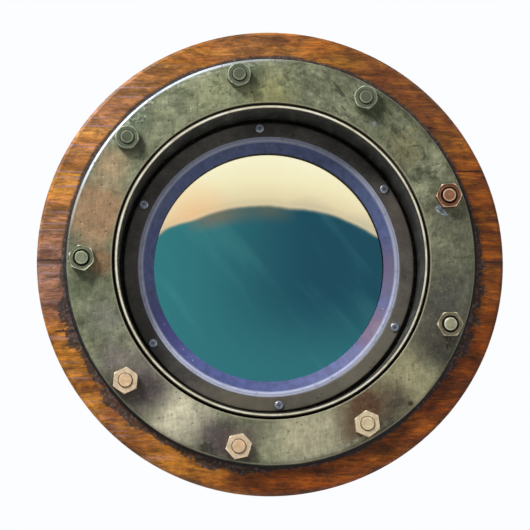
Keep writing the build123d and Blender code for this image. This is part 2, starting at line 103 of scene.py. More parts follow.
class Graph:
    """A node tree being wired, with one short call for each kind of node that the finishes use."""

    def __init__(self, tree: bpy.types.NodeTree) -> None:
        """Start wiring the tree of a material, a group or the world."""
        self.tree = tree

    def node(self, kind: str, inputs: Optional[Dict[Union[str, int], Feed]] = None,
             **settings: object) -> bpy.types.Node:
        """Add a node.

        Args:
            kind: the node's type name without the ShaderNode prefix.
            inputs: values or sockets for its inputs, by name or index.
            **settings: the node's own properties.

        Returns:
            The new node.
        """
        made = self.tree.nodes.new("ShaderNode" + kind)
        for name, value in settings.items():
            setattr(made, name, value)
        for name, value in (inputs or {}).items():
            self.feed(made.inputs[name], value)
        return made

    def feed(self, socket: Socket, value: Feed) -> None:
        """Link a socket into an input, or set the input's own value."""
        if isinstance(value, bpy.types.NodeSocket):
            self.tree.links.new(value, socket)
        elif isinstance(value, (int, float)):
            socket.default_value = value
        else:
            socket.default_value = list(value) + [1.0] * (len(socket.default_value) - len(value))

    def math(self, operation: str, first: Feed, second: Feed = 0.0, clamp: bool = False) -> Socket:
        """Add a Math node and return its value."""
        return self.node("Math", {0: first, 1: second}, operation=operation, use_clamp=clamp).outputs[0]

    def times(self, first: Feed, *others: Feed) -> Feed:
        """Multiply values together."""
        for other in others:
            first = self.math("MULTIPLY", first, other)
        return first

    def weigh(self, *parts: Tuple[Feed, float]) -> Feed:
        """Add up values, each times its own weight."""
        total, *others = [self.times(value, weight) for value, weight in parts]
        for other in others:
            total = self.math("ADD", total, other)
        return total

    def swing(self, value: Feed, reach: Feed) -> Feed:
        """Turn a value about 0.5 into a shift to both sides of 0."""
        return self.times(self.math("SUBTRACT", value, 0.5), reach)

    def mix(self, amount: Feed, below: Feed, above: Feed, blend: str = "MIX") -> Socket:
        """Add a colour mix and return its colour."""
        return self.node("Mix", {0: amount, 6: below, 7: above}, data_type="RGBA", blend_type=blend).outputs[2]

    def blend(self, amount: Feed, below: Feed, above: Feed) -> Socket:
        """Mix two plain values and return the result."""
        return self.node("Mix", {0: amount, 2: below, 3: above}, data_type="FLOAT").outputs[0]

    def rescale(self, value: Feed, low: float, high: float, to_low: float = 0.0, to_high: float = 1.0) -> Socket:
        """Carry a value smoothly from one range to another, clamped."""
        inputs = {0: value, 1: low, 2: high, 3: to_low, 4: to_high}
        return self.node("MapRange", inputs, interpolation_type="SMOOTHSTEP").outputs[0]

    def ramp(self, value: Feed, *stops: Tuple[float, Colour]) -> Socket:
        """Add a colour ramp through the stops and return its colour."""
        made = self.node("ValToRGB", {0: value})
        elements = made.color_ramp.elements
        while len(elements) < len(stops):
            elements.new(0.5)
        for element, (place, colour) in zip(elements, stops):
            element.position = place
            element.color = (*colour, 1.0)
        return made.outputs[0]

    def place(self, axis: Optional[int] = None) -> Socket:
        """Return the object coordinates, or one of them."""
        made = self.node("TexCoord").outputs["Object"]
        return made if axis is None else self.node("SeparateXYZ", {0: made}).outputs[axis]

    def mapped(self, vector: Socket, **settings: Feed) -> Socket:
        """Move, turn or scale a vector."""
        return self.node("Mapping", {"Vector": vector, **settings}).outputs[0]

    def noise(self, scale: Feed, detail: float = 4.0, roughness: float = 0.55, distortion: float = 0.0,
              vector: Optional[Socket] = None) -> Socket:
        """Add a noise texture and return its value, from 0 to 1 about 0.5."""
        place = self.place() if vector is None else vector
        return self.node("TexNoise", {"Vector": place, "Scale": scale, "Detail": detail, "Roughness": roughness,
                                      "Distortion": distortion}).outputs[0]

    def streaks(self, stretch: Sequence[float], detail: float = 5.0, roughness: float = 0.7,
                distortion: float = 0.0, lean: float = 0.0, scale: float = 1.0) -> Socket:
        """Return noise drawn out into streaks or grain.

        Args:
            stretch: how fine it is along each axis.
            detail: how many sizes of noise it holds.
            roughness: how strong the small ones are.
            distortion: how much it is stirred.
            lean: how far it is turned about the porthole's axis, in degrees.
            scale: how fine it is as a whole.

        Returns:
            The noise's value.
        """
        place = self.place()
        if lean:
            place = self.mapped(place, Rotation=(0.0, math.radians(lean), 0.0))
        return self.noise(scale, detail, roughness, distortion, self.mapped(place, Scale=stretch))

    def use(self, group: bpy.types.NodeTree, **inputs: Feed) -> bpy.types.Node:
        """Place a node group, with values or sockets for its named inputs."""
        made = self.tree.nodes.new("ShaderNodeGroup")
        made.node_tree = group
        for name, value in inputs.items():
            self.feed(made.inputs[name], value)
        return made


class Effects:
    """The shader node groups that several finishes share, each built once."""

    def __init__(self) -> None:
        """Build every group."""
        self.band = self._band()
        self.spot = self._spot()
        self.clouds = self._clouds()
        self.pits = self._pits()
        self.layer = self._layer()
        self.grain = self._grain()

    @staticmethod
    def _start(name: str, outputs: Sequence[str], **inputs: Feed) -> Tuple[Graph, list, list]:
        """Start a group.

        Args:
            name: the group's name.
            outputs: the names of its outputs, all plain values.
            **inputs: its inputs' names and starting values. Three numbers make a vector.

        Returns:
            The group's graph, the sockets that bring its inputs, and those that take its outputs.
        """
        tree = bpy.data.node_groups.new(name, "ShaderNodeTree")
        for label, start in inputs.items():
            kind = "NodeSocketVector" if isinstance(start, tuple) else "NodeSocketFloat"
            tree.interface.new_socket(label, in_out="INPUT", socket_type=kind).default_value = start
        for label in outputs:
            tree.interface.new_socket(label, in_out="OUTPUT", socket_type="NodeSocketFloat")
        source, sink = tree.nodes.new("NodeGroupInput"), tree.nodes.new("NodeGroupOutput")
        return Graph(tree), list(source.outputs), list(sink.inputs)

    def _band(self) -> bpy.types.NodeTree:
        """Build a mask that is 1 between two distances from the porthole's axis and fades out beyond both."""
        graph, (inner, outer, soft, _), sink = self._start("ring_band", ("Mask", "Radius"), Inner=0.0, Outer=1.0,
                                                           Soft=0.001)
        across, upward = graph.place(0), graph.place(2)
        radius = graph.math("SQRT", graph.math("ADD", graph.times(across, across), graph.times(upward, upward)))
        inside = graph.math("DIVIDE", graph.math("SUBTRACT", radius, inner), soft, clamp=True)
        outside = graph.math("DIVIDE", graph.math("SUBTRACT", outer, radius), soft, clamp=True)
        graph.feed(sink[0], graph.times(inside, outside))
        graph.feed(sink[1], radius)
        return graph.tree

    def _spot(self) -> bpy.types.NodeTree:
        """Build a round patch about a centre, whose edge wanders with noise."""
        graph, (centre, radius, soft, wander, scale, _), sink = self._start(
            "round_patch", ("Mask", "Distance"), Centre=(0, 0, 0), Radius=0.01, Soft=0.005, Wander=0.0, Scale=60.0)
        flat = graph.node("VectorMath", {0: graph.place(), 1: (1.0, 0.0, 1.0)}, operation="MULTIPLY").outputs[0]
        away = graph.node("VectorMath", {0: flat, 1: centre}, operation="DISTANCE").outputs[1]
        shift = graph.swing(graph.noise(scale, 5.0, 0.5), wander)
        reach = graph.math("SUBTRACT", radius, graph.math("ADD", away, shift))
        graph.feed(sink[0], graph.math("DIVIDE", reach, soft, clamp=True))
        graph.feed(sink[1], away)
        return graph.tree

    def _clouds(self) -> bpy.types.NodeTree:
        """Build a cloudy mask: noise with its low and high ends pushed to 0 and 1."""
        graph, (vector, scale, low, high, _), sink = self._start(
            "clouds", ("Mask",), Vector=(0, 0, 0), Scale=20.0, Low=0.4, High=0.6)
        fog = graph.noise(scale, 8.0, 0.62, 0.3, vector)
        graph.feed(sink[0], graph.node("MapRange", {0: fog, 1: low, 2: high}).outputs[0])
        return graph.tree

    def _pits(self) -> bpy.types.NodeTree:
        """Build corrosion pits: cells whose middles sink, with most cells left plain."""
        graph, (scale, share, _), sink = self._start("corrosion_pits", ("Mask", "Height"), Scale=300.0, Share=0.3)
        cells = graph.node("TexVoronoi", {"Vector": graph.place(), "Scale": scale})
        chosen = graph.node("SeparateXYZ", {0: cells.outputs["Color"]}).outputs[0]
        kept = graph.math("LESS_THAN", chosen, share)
        mask = graph.times(kept, graph.rescale(cells.outputs["Distance"], 0.12, 0.38, 1.0, 0.0))
        graph.feed(sink[0], mask)
        graph.feed(sink[1], graph.times(mask, -1.0))
        return graph.tree

    def _layer(self) -> bpy.types.NodeTree:
        """Build a mask of height along the porthole's axis, 1 outboard of a plane and fading over a depth."""
        graph, (plane, soft, _), sink = self._start("axial_layer", ("Mask",), Plane=0.0, Soft=0.001)
        ahead = graph.math("SUBTRACT", plane, graph.place(1))
        graph.feed(sink[0], graph.math("DIVIDE", ahead, soft, clamp=True))
        return graph.tree

    def _grain(self) -> bpy.types.NodeTree:
        """Build wood grain: long wavering lines along X with fine pores between them."""
        graph, (vector, wander, _), sink = self._start("wood_grain", ("Lines", "Pores", "Figure"), Vector=(0, 0, 0),
                                                       Wander=0.02)
        slow = graph.noise(3.0, 3.0, vector=graph.mapped(vector, Scale=(3.0, 3.0, 9.0)))
        push = graph.node("CombineXYZ", {2: graph.swing(slow, wander)}).outputs[0]
        bent = graph.node("VectorMath", {0: vector, 1: push}, operation="ADD").outputs[0]
        sizes = ((4.0, 40.0, 260.0), (60.0, 300.0, 1500.0), (5.0, 20.0, 46.0))
        looks = ((7.0, 0.66, 0.4), (3.0, 0.6, 0.0), (4.0, 0.55, 0.8))
        for socket, size, look in zip(sink, sizes, looks):
            graph.feed(socket, graph.noise(1.0, *look, graph.mapped(bent, Scale=size)))
        return graph.tree


EFFECTS = Effects()


class Paint(Graph):
    """A material being painted: a running colour that each layer changes, and stacked bumps."""

    def __init__(self, name: str, backdrop: Colour) -> None:
        """Start the material.

        Args:
            name: the material's name.
            backdrop: the colour for plain viewport display.
        """
        self.material = bpy.data.materials.new(name)
        self.material.use_nodes = True
        self.material.diffuse_color = (*backdrop, 1.0)
        super().__init__(self.material.node_tree)
        self.surface = next(node for node in self.tree.nodes if node.type == "BSDF_PRINCIPLED")
        self.colour: Feed = backdrop
        self.bumped: Dict[str, Feed] = {}

    def lay(self, colour: Feed, *masks: Feed) -> None:
        """Lay a colour over the running one, by the masks' product."""
        self.colour = self.mix(self.times(*masks), self.colour, colour)

    def shade(self, value: Feed) -> None:
        """Multiply the running colour by a plain value."""
        grey = self.node("CombineXYZ", {0: value, 1: value, 2: value}).outputs[0]
        self.colour = self.mix(1.0, self.colour, grey, "MULTIPLY")

    def band(self, inner: float, outer: float, soft: float) -> Socket:
        """Return a mask between two distances from the porthole's axis."""
        return self.use(EFFECTS.band, Inner=inner, Outer=outer, Soft=soft).outputs["Mask"]

    def from_axis(self) -> Socket:
        """Return the distance from the porthole's axis."""
        return self.use(EFFECTS.band).outputs["Radius"]

    def spot(self, centre: Pair, size: float, soft: float, wander: float = 0.0, scale: float = 60.0) -> Socket:
        """Return a round mask.

        Args:
            centre: its x and z.
            size: its radius.
            soft: how wide its edge is.
            wander: how far its edge wanders.
            scale: how fine the wandering is.

        Returns:
            The mask.
        """
        return self.use(EFFECTS.spot, Centre=(centre[0], 0.0, centre[1]), Radius=size, Soft=soft, Wander=wander,
                        Scale=scale).outputs["Mask"]

    def clouds(self, scale: float, low: float, high: float, vector: Optional[Socket] = None) -> Socket:
        """Return a cloudy mask."""
        place = self.place() if vector is None else vector
        return self.use(EFFECTS.clouds, Vector=place, Scale=scale, Low=low, High=high).outputs["Mask"]

    def ahead(self, plane: float, soft: float) -> Socket:
        """Return a mask of what lies outboard of a plane."""
        return self.use(EFFECTS.layer, Plane=plane, Soft=soft).outputs["Mask"]

    def relief(self, height: Feed, distance: float, strength: float) -> None:
        """Stack a bump on the ones before.

        Args:
            height: the height to follow.
            distance: how tall a height of 1 stands, in metres.
            strength: how much of it shows.
        """
        inputs = {"Height": height, "Distance": distance, "Strength": strength, **self.bumped}
        self.bumped = {"Normal": self.node("Bump", inputs).outputs[0]}

    def done(self, roughness: Feed, metallic: Feed = 0.0, **others: Feed) -> Material:
        """Feed the surface shader and return the material. Other inputs have underscores for spaces."""
        inputs = {"Base_Color": self.colour, "Roughness": roughness, "Metallic": metallic, **self.bumped, **others}
        for name, value in inputs.items():
            self.feed(self.surface.inputs[name.replace("_", " ")], value)
        return self.material


@dataclass(frozen=True)
class Patch:
    """A stain, bare place, painted light or painted shade on a flat face, given by where it lies round the axis."""

    radius: float
    degrees: float
    size: float
    colour: Colour
    strength: float
    soft: float
    wander: float = 0.7
    scale: float = 70.0

    def lay(self, paint: Paint) -> None:
        """Lay the patch over the running colour."""
        mask = paint.spot(on_circle(self.radius, self.degrees), self.size, self.size * self.soft,
                          self.size * self.wander, self.scale)
        paint.lay(self.colour, mask, self.strength)


def patches(*rows: tuple) -> Tuple[Patch, ...]:
    """Make patches from rows that give radius, angle, size in millimetres, display colour and the rest."""
    return tuple(Patch(radius * MM, degrees, size * MM, tone(*shade), *rest)
                 for radius, degrees, size, shade, *rest in rows)


# --- finishes ---


@dataclass(frozen=True)
class WeatheredBronze:
    """Outdoor bronze under a green-grey patina, with patches laid over it: stains and bare places, and on some pieces
    painted light and shade.
    """

    name: str
    light: Colour
    middle: Colour
    dark: Colour
    patches: Tuple[Patch, ...] = ()
    roughness: float = 0.5
    metallic: float = 0.35
    pit_share: float = 0.16

    def make(self) -> Material:
        """Return the material."""
        paint = Paint(self.name, self.middle)
        mottled = paint.noise(90.0, 7.0, 0.68)
        weight = paint.weigh((paint.noise(14.0, 6.0, 0.6, 0.6), 0.45), (mottled, 0.33),
                             (paint.streaks((22.0, 60.0, 34.0), 5.0, 0.6, scale=9.0), 0.22))
        paint.colour = paint.ramp(weight, (0.38, self.dark), (0.5, self.middle), (0.61, self.light))
        for patch in self.patches:
            patch.lay(paint)
        self.marks(paint)
        paint.lay(self.light, paint.clouds(420.0, 0.56, 0.72), 0.45)
        pits = paint.use(EFFECTS.pits, Scale=330.0, Share=self.pit_share)
        paint.lay(self.dark, pits.outputs["Mask"], 0.6)
        paint.relief(paint.weigh((mottled, 0.9), (paint.noise(700.0, 3.0, 0.6), 0.25)), 0.16 * MM, 0.85)
        paint.relief(pits.outputs["Height"], 0.3 * MM, 0.6)
        return paint.done(paint.rescale(mottled, 0.3, 0.7, self.roughness - 0.12, self.roughness + 0.16),
                          self.metallic)

    def marks(self, paint: Paint) -> None:
        """Lay this piece's own marks over its patches. The plain finish has none."""


@dataclass(frozen=True)
class LightBronze(WeatheredBronze):
    """The hinged light's bronze, painted near black where it sits in the spigot: painted shade in the gap between the
    spigot and the light.
    """

    def marks(self, paint: Paint) -> None:
        """Paint the boss outboard of the seat near black, as painted shade inside the spigot."""
        paint.lay(tone(22, 22, 20), paint.band(0.0, BOSS_RADIUS, 0.4 * MM), paint.ahead(BOSS_PLANE, 0.6 * MM))


@dataclass(frozen=True)
class TrimBronze(WeatheredBronze):
    """The outboard ring's bronze: brushed, scratched, crusted inside its rim and dark along its edges, with painted
    highlights on its rim and along its bore.
    """

    outer: float = 0.15

    def marks(self, paint: Paint) -> None:
        """Lay the brush marks, dark strokes, flecks, edge grime, crust, a painted highlight along the bore and the
        rim's painted highlight.
        """
        brushed = paint.streaks((760.0, 200.0, 120.0), 5.0, 0.75, 0.4)
        crossed = paint.streaks((70.0, 200.0, 560.0), 5.0, 0.75, 0.4, 14.0)
        fine = paint.weigh((brushed, 0.34), (crossed, 0.2), (paint.noise(150.0, 8.0, 0.74, 0.5), 0.46))
        paint.shade(paint.rescale(fine, 0.37, 0.63, 0.72, 1.44))
        for degrees, size, strength, dark, stretch, lean in (
                (60.0, 0.062, 0.85, tone(64, 70, 50), (230.0, 90.0, 60.0), 42.0),
                (112.0, 0.05, 0.7, tone(84, 94, 66), (90.0, 90.0, 210.0), 8.0),
                (20.0, 0.06, 0.6, tone(70, 68, 54), (160.0, 90.0, 90.0), -30.0),
                (38.0, 0.056, 0.75, tone(66, 72, 52), (150.0, 90.0, 120.0), 20.0),
                (86.0, 0.06, 0.6, tone(72, 82, 60), (130.0, 90.0, 170.0), -14.0)):
            torn = paint.rescale(paint.streaks(stretch, 6.0, 0.72, 0.7, lean), 0.52, 0.6)
            paint.lay(dark, torn, paint.spot(on_circle(STROKE_CIRCLE, degrees), size, size * 0.6), strength)
        flecked = paint.spot(on_circle(STROKE_CIRCLE, 34.0), 0.06, 0.03)
        paint.lay(tone(150, 128, 84), paint.clouds(210.0, 0.62, 0.68), flecked, 0.6)
        edge = paint.band(self.outer - 5.0 * MM, self.outer + 4.0 * MM, 3.5 * MM)
        paint.lay(tone(62, 60, 46), edge, paint.clouds(34.0, 0.42, 0.6), 0.6)
        self._crust(paint)
        # Painted highlight: a pale line along the edge of the bore.
        paint.lay(tone(176, 174, 148), paint.band(0.0, TRIM_BORE + 1.3 * MM, 0.5 * MM), 0.55)
        self._rim_highlight(paint)

    def _crust(self, paint: Paint) -> None:
        """Lay the broken pale crust line just inside the rim, on the upper left and along the bottom."""
        line = paint.band(self.outer - 5.6 * MM, self.outer - 2.2 * MM, 0.8 * MM)
        grit = paint.clouds(310.0, 0.5, 0.58)
        for degrees, size, strength in ((118.0, 0.085, 0.75), (285.0, 0.06, 0.4)):
            region = paint.spot(on_circle(self.outer, degrees), size, size * 0.5)
            paint.lay(tone(186, 190, 170), line, grit, region, strength)

    def _rim_highlight(self, paint: Paint) -> None:
        """Paint highlights on the rounded rim: a wide white-blue highlight on the upper left and a thin pale highlight
        line elsewhere, both broken up by cloudy noise.
        """
        # Painted highlight: the cloudy mask below breaks up both rim highlights.
        worn = paint.clouds(30.0, 0.36, 0.56)
        paint.lay(tone(170, 170, 146), paint.band(self.outer - 1.3 * MM, self.outer - 0.3 * MM, 0.4 * MM), worn, 0.6)
        wide = paint.band(self.outer - 2.6 * MM, self.outer + 1.0 * MM, 0.8 * MM)
        region = paint.spot(on_circle(self.outer, 128.0), 0.11, 0.05, 0.02, 18.0)
        paint.lay(tone(196, 204, 214), wide, region, paint.rescale(worn, 0.0, 1.0, 0.55, 1.0))


class NutLook(Enum):
    """How each frame nut has aged."""

    COPPER = "copper"
    PINK = "pink"
    BRASS = "brass"
    GREENED = "greened"
    CRUSTED = "crusted"


@dataclass(frozen=True)
class NutTones:
    """A nut's and bolt end's colours in rings about their own axis, as display colours."""

    end: Steps
    end_rim: Steps
    joint: Steps
    face: Steps
    # edge: a painted highlight on the outer edge of the nut's face.
    edge: Steps
    side: Steps
    patina: Steps
    joint_width: float
    patina_share: float = 0.3
    metallic: float = 0.3
    roughness: float = 0.42


CREAM = NutTones((220, 198, 158), (226, 208, 172), (112, 80, 54), (226, 208, 172), (240, 220, 190), (188, 168, 136),
                 (196, 186, 148), 0.15 * MM, metallic=0.12)
TONES = {
    NutLook.COPPER: NutTones((148, 104, 74), (216, 176, 144), (58, 32, 18), (118, 76, 48), (236, 206, 182),
                             (128, 90, 64), (92, 62, 40), 0.9 * MM),
    NutLook.PINK: NutTones((230, 192, 150), (226, 200, 166), (112, 80, 54), (226, 200, 166), (240, 220, 190),
                           (188, 168, 136), (196, 186, 148), 0.15 * MM, metallic=0.12),
    NutLook.BRASS: NutTones((166, 164, 134), (214, 214, 192), (32, 28, 24), (124, 114, 88), (226, 222, 196),
                            (150, 142, 112), (96, 88, 66), 1.2 * MM),
    NutLook.GREENED: NutTones((128, 134, 108), (170, 174, 146), (52, 58, 40), (114, 118, 92), (230, 230, 208),
                              (150, 154, 128), (86, 96, 70), 1.2 * MM, patina_share=0.35),
    NutLook.CRUSTED: NutTones((84, 92, 68), (146, 152, 126), (56, 62, 44), (98, 104, 80), (206, 212, 190),
                              (88, 96, 74), (74, 84, 62), 0.3 * MM, 0.5, metallic=0.1, roughness=0.62),
}


@dataclass(frozen=True)
class FastenerBronze:
    """A nut and the bolt end in it, coloured in rings about their own axis."""

    name: str
    centre: Pair
    tones: NutTones

    def make(self) -> Material:
        """Return the material."""
        tones = self.tones
        face, side = tone(*tones.face), tone(*tones.side)
        end_rim, joint = tone(*tones.end_rim), tone(*tones.joint)
        paint = Paint(self.name, face)
        hub = paint.use(EFFECTS.spot, Centre=(self.centre[0], 0.0, self.centre[1]), Radius=1.0, Soft=1.0)
        reach, joint_end = NUT_FACE * 1.4, BOLT_RADIUS + tones.joint_width
        stops = ((BOLT_RADIUS - 1.4 * MM, tone(*tones.end)), (BOLT_RADIUS - 0.9 * MM, end_rim),
                 (BOLT_RADIUS - 0.5 * MM, end_rim), (BOLT_RADIUS - 0.15 * MM, joint), (joint_end, joint),
                 (joint_end + 0.4 * MM, face), (NUT_FACE, face), (NUT_FACE + 0.5 * MM, side))
        paint.colour = paint.ramp(paint.math("DIVIDE", hub.outputs["Distance"], reach),
                                  *((place / reach, shade) for place, shade in stops))
        paint.colour = paint.mix(paint.ahead(-20.0 * MM, 1.0 * MM), side, paint.colour)
        # Painted highlight: the worn attribute marks the outer edge of the nut's face, which takes the bright edge
        # colour.
        rim = paint.node("Attribute", attribute_name="worn").outputs["Fac"]
        paint.lay(tone(*tones.edge), paint.rescale(rim, 0.25, 0.8))
        share = tones.patina_share
        paint.lay(tone(*tones.patina), paint.clouds(150.0, 0.62 - share * 0.4, 0.74 - share * 0.4), 0.2 + share * 0.6)
        mottled = paint.noise(260.0, 7.0, 0.7)
        paint.shade(paint.rescale(mottled, 0.25, 0.75, 0.74, 1.16))
        paint.relief(paint.weigh((mottled, 0.8), (paint.noise(900.0, 3.0, 0.6), 0.3)), 0.12 * MM, 0.7)
        return paint.done(paint.rescale(mottled, 0.3, 0.7, tones.roughness - 0.1, tones.roughness + 0.18),
                          tones.metallic)


@dataclass(frozen=True)
class FrameCasting:
    """The main frame's bronze: a bare bright lip with painted shade on its front beside it, a bore painted dark as
    shade, and a brown cast body.
    """

    name: str
    lip_plane: float

    def make(self) -> Material:
        """Return the material."""
        light = tone(152, 128, 88)
        paint = Paint(self.name, light)
        mottled = paint.noise(70.0, 7.0, 0.66)
        weight = paint.weigh((mottled, 0.5), (paint.noise(12.0, 5.0, 0.6), 0.5))
        paint.colour = paint.ramp(weight, (0.36, tone(78, 66, 48)), (0.5, tone(118, 98, 66)), (0.64, light))
        paint.lay(tone(92, 112, 88), paint.clouds(38.0, 0.57, 0.7), 0.5)
        # Painted shade: the bore is painted near black, with streaks, for the shade deep in the tube.
        inside = paint.band(0.0, SPIGOT_BORE + 0.4 * MM, 0.2 * MM)
        grime_and_shade = paint.weigh((paint.streaks((26.0, 620.0, 26.0), distortion=0.3), 0.5),
                           (paint.streaks((90.0, 14.0, 90.0), distortion=0.4), 0.5))
        paint.lay(paint.ramp(grime_and_shade, (0.36, tone(34, 35, 31)), (0.5, tone(50, 50, 45)), (0.6, tone(92, 93, 88)),
                             (0.7, tone(128, 132, 132))), inside)
        # Painted shade: the front of the lip, outside the bright band, is painted dark.
        front = paint.ahead(self.lip_plane + 1.2 * MM, 0.4 * MM)
        paint.lay(tone(50, 47, 38), front)
        lip = paint.times(front, paint.band(SPIGOT_BORE + 0.75 * MM, SPIGOT_BORE + 2.45 * MM, 0.3 * MM))
        worn = paint.streaks((60.0, 60.0, 60.0), 5.0, 0.6, scale=1.2)
        paint.lay(paint.ramp(worn, (0.3, tone(178, 172, 146)), (0.5, tone(222, 217, 190)),
                             (0.68, tone(238, 236, 220))), lip)
        paint.relief(paint.noise(420.0, 5.0, 0.65), 0.12 * MM, 0.8)
        rough = paint.blend(lip, paint.rescale(mottled, 0.3, 0.7, 0.42, 0.66), 0.3)
        return paint.done(rough, paint.blend(paint.math("MAXIMUM", inside, front), 0.55, 0.1))


@dataclass(frozen=True)
class VarnishedWood:
    """Old varnished planks with horizontal grain, grime and painted shadow round the flange, and a dark plank joint."""

    name: str
    flange_radius: float
    turn: float
    cracks: Tuple[Tuple[float, float, float], ...]
    weathering: Tuple[Patch, ...]

    def make(self) -> Material:
        """Return the material."""
        paint = Paint(self.name, tone(150, 98, 50))
        shifted = paint.mapped(paint.place(), Location=(self.turn, 0.0, self.turn))
        grain = paint.use(EFFECTS.grain, Vector=shifted, Wander=0.03)
        lines, pores, figure = grain.outputs
        paint.colour = paint.ramp(figure, (0.3, tone(104, 54, 14)), (0.45, tone(154, 90, 26)),
                                  (0.56, tone(180, 114, 36)), (0.7, tone(204, 142, 50)))
        for patch in self.weathering:
            patch.lay(paint)
        marbled = paint.streaks((34.0, 60.0, 74.0), 7.0, 0.7, 0.9)
        paint.shade(paint.rescale(marbled, 0.36, 0.64, 0.5, 1.42))
        paint.shade(paint.rescale(lines, 0.34, 0.64, 0.72, 1.18))
        threads = paint.streaks((150.0, 300.0, 820.0), 5.0, 0.72, 0.6)
        paint.shade(paint.rescale(threads, 0.36, 0.62, 0.62, 1.24))
        dry = paint.streaks((14.0, 60.0, 620.0), distortion=0.3)
        faded = paint.rescale(paint.place(0), -0.04, -0.13, 0.0, 0.75)
        paint.lay(tone(164, 134, 144), paint.rescale(dry, 0.53, 0.66), faded)
        drawn = paint.mapped(paint.place(), Scale=(1.0, 1.0, 2.2))
        paint.lay(tone(54, 24, 10), paint.clouds(26.0, 0.53, 0.66, drawn), 0.5)
        gilt = paint.streaks((30.0, 60.0, 260.0), 6.0, 0.7, 0.8)
        paint.lay(tone(184, 116, 24), paint.rescale(gilt, 0.54, 0.68, 0.0, 0.5))
        self._joint_and_cracks(paint)
        self._grime_and_shadow(paint)
        paint.relief(lines, 0.4 * MM, 0.8)
        paint.relief(pores, 0.1 * MM, 0.6)
        return paint.done(paint.rescale(lines, 0.3, 0.7, 0.55, 0.34), Coat_Weight=0.08, Coat_Roughness=0.25,
                          Specular_IOR_Level=0.3)

    def _joint_and_cracks(self, paint: Paint) -> None:
        """Darken the horizontal plank joint and a few short drying cracks along the grain."""
        along, upward = paint.place(0), paint.place(2)
        height = paint.math("ADD", upward, paint.swing(paint.noise(60.0), 3.0 * MM))
        paint.lay(tone(58, 30, 24), paint.rescale(paint.math("ABSOLUTE", height), 0.6 * MM, 3.6 * MM, 0.62, 0.0))
        paint.lay(tone(26, 14, 12), paint.rescale(paint.math("ABSOLUTE", upward), 0.15 * MM, 0.6 * MM, 0.9, 0.0))
        for start, end, level in self.cracks:
            beside = paint.math("ABSOLUTE", paint.math("SUBTRACT", height, level))
            paint.lay(tone(30, 16, 14), paint.rescale(beside, 0.2 * MM, 0.9 * MM, 1.0, 0.0),
                      paint.rescale(along, start, start + 4 * MM), paint.rescale(along, end - 4 * MM, end, 1.0, 0.0))

    def _grime_and_shadow(self, paint: Paint) -> None:
        """Lay dark grime on the wood close round the flange, widest low down and on the right, where it is partly
        painted shadow of the flange.
        """
        broken = paint.noise(62.0, 8.0, 0.74, 0.4)
        reach = paint.math("ADD", self.flange_radius + 1.0 * MM, paint.times(broken, 7.0 * MM))
        # Wider at the lower left, the right and the bottom; on the right and bottom this stands in part for the
        # flange's shadow.
        for degrees, extra in ((208.0, 9.0), (-12.0, 8.0), (250.0, 5.0)):
            region = paint.spot(on_circle(self.flange_radius, degrees), 0.075, 0.05)
            lumps = paint.times(region, paint.rescale(broken, 0.36, 0.62, 0.0, extra * MM))
            reach = paint.math("ADD", reach, lumps)
        depth = paint.math("DIVIDE", paint.math("SUBTRACT", reach, paint.from_axis()), 1.6 * MM, clamp=True)
        grime_and_shade = paint.ramp(paint.noise(420.0, 5.0, 0.7), (0.38, tone(26, 23, 22)), (0.52, tone(52, 47, 48)),
                          (0.68, tone(110, 104, 100)))
        paint.lay(grime_and_shade, depth, 0.86)


@dataclass(frozen=True)
class PaintedSeal:
    """The blue-grey glazing ring: a bright rubbed lip and a darker sloping flank, both painted lighter low down, where
    light falls, and darker at the top as painted shade.
    """

    name: str
    lip_radius: float
    # flank is the painted lit colour low down, and deep is the painted shaded colour at the top.
    flank: Colour = tone(88, 98, 158)
    deep: Colour = tone(80, 94, 134)

    def make(self) -> Material:
        """Return the material."""
        paint = Paint(self.name, self.flank)
        fog = paint.noise(28.0, 6.0, 0.6)
        # Painted light and shade: the mask below rises towards the bottom, where the ring is painted lighter.
        lower_and_lit = paint.rescale(paint.place(2), 0.05, -0.085)
        mixed = paint.weigh((lower_and_lit, 0.7), (paint.rescale(fog, 0.35, 0.65), 0.3))
        paint.colour = paint.mix(mixed, self.deep, self.flank)
        mottled = paint.noise(170.0, 7.0, 0.74, 0.5)
        paint.shade(paint.rescale(mottled, 0.36, 0.64, 0.8, 1.2))
        for degrees, size, stain_and_shade in ((-2.0, 26 * MM, tone(112, 96, 128)), (-32.0, 24 * MM, tone(118, 84, 112)),
                                     (212.0, 30 * MM, tone(74, 70, 134))):
            worn = paint.spot(on_circle(self.lip_radius, degrees), size, size * 0.6, 12 * MM, 90.0)
            paint.lay(stain_and_shade, worn, 0.7)
        specks = paint.use(EFFECTS.pits, Scale=420.0, Share=0.035).outputs["Mask"]
        paint.lay(tone(172, 178, 214), specks, paint.rescale(lower_and_lit, 0.3, 0.8, 0.1, 0.7))
        # Painted light: the lip is painted brighter towards the bottom.
        edge = paint.mix(lower_and_lit, tone(172, 178, 200), tone(206, 212, 240))
        groove = paint.band(self.lip_radius + 1.5 * MM, self.lip_radius + 2.3 * MM, 0.4 * MM)
        edge = paint.mix(paint.times(groove, 0.7), edge, tone(96, 104, 138))
        edge = paint.mix(paint.rescale(mottled, 0.5, 0.68, 0.0, 0.5), edge, tone(112, 116, 140))
        lip = (self.lip_radius - 1.2 * MM, self.lip_radius + 0.6 * MM)
        paint.lay(edge, paint.rescale(paint.from_axis(), *lip))
        paint.lay(tone(52, 52, 66), paint.clouds(130.0, 0.6, 0.72), 0.4)
        paint.relief(paint.noise(400.0, 4.0, 0.6), 0.08 * MM, 0.6)
        return paint.done(paint.rescale(fog, 0.3, 0.7, 0.46, 0.6))


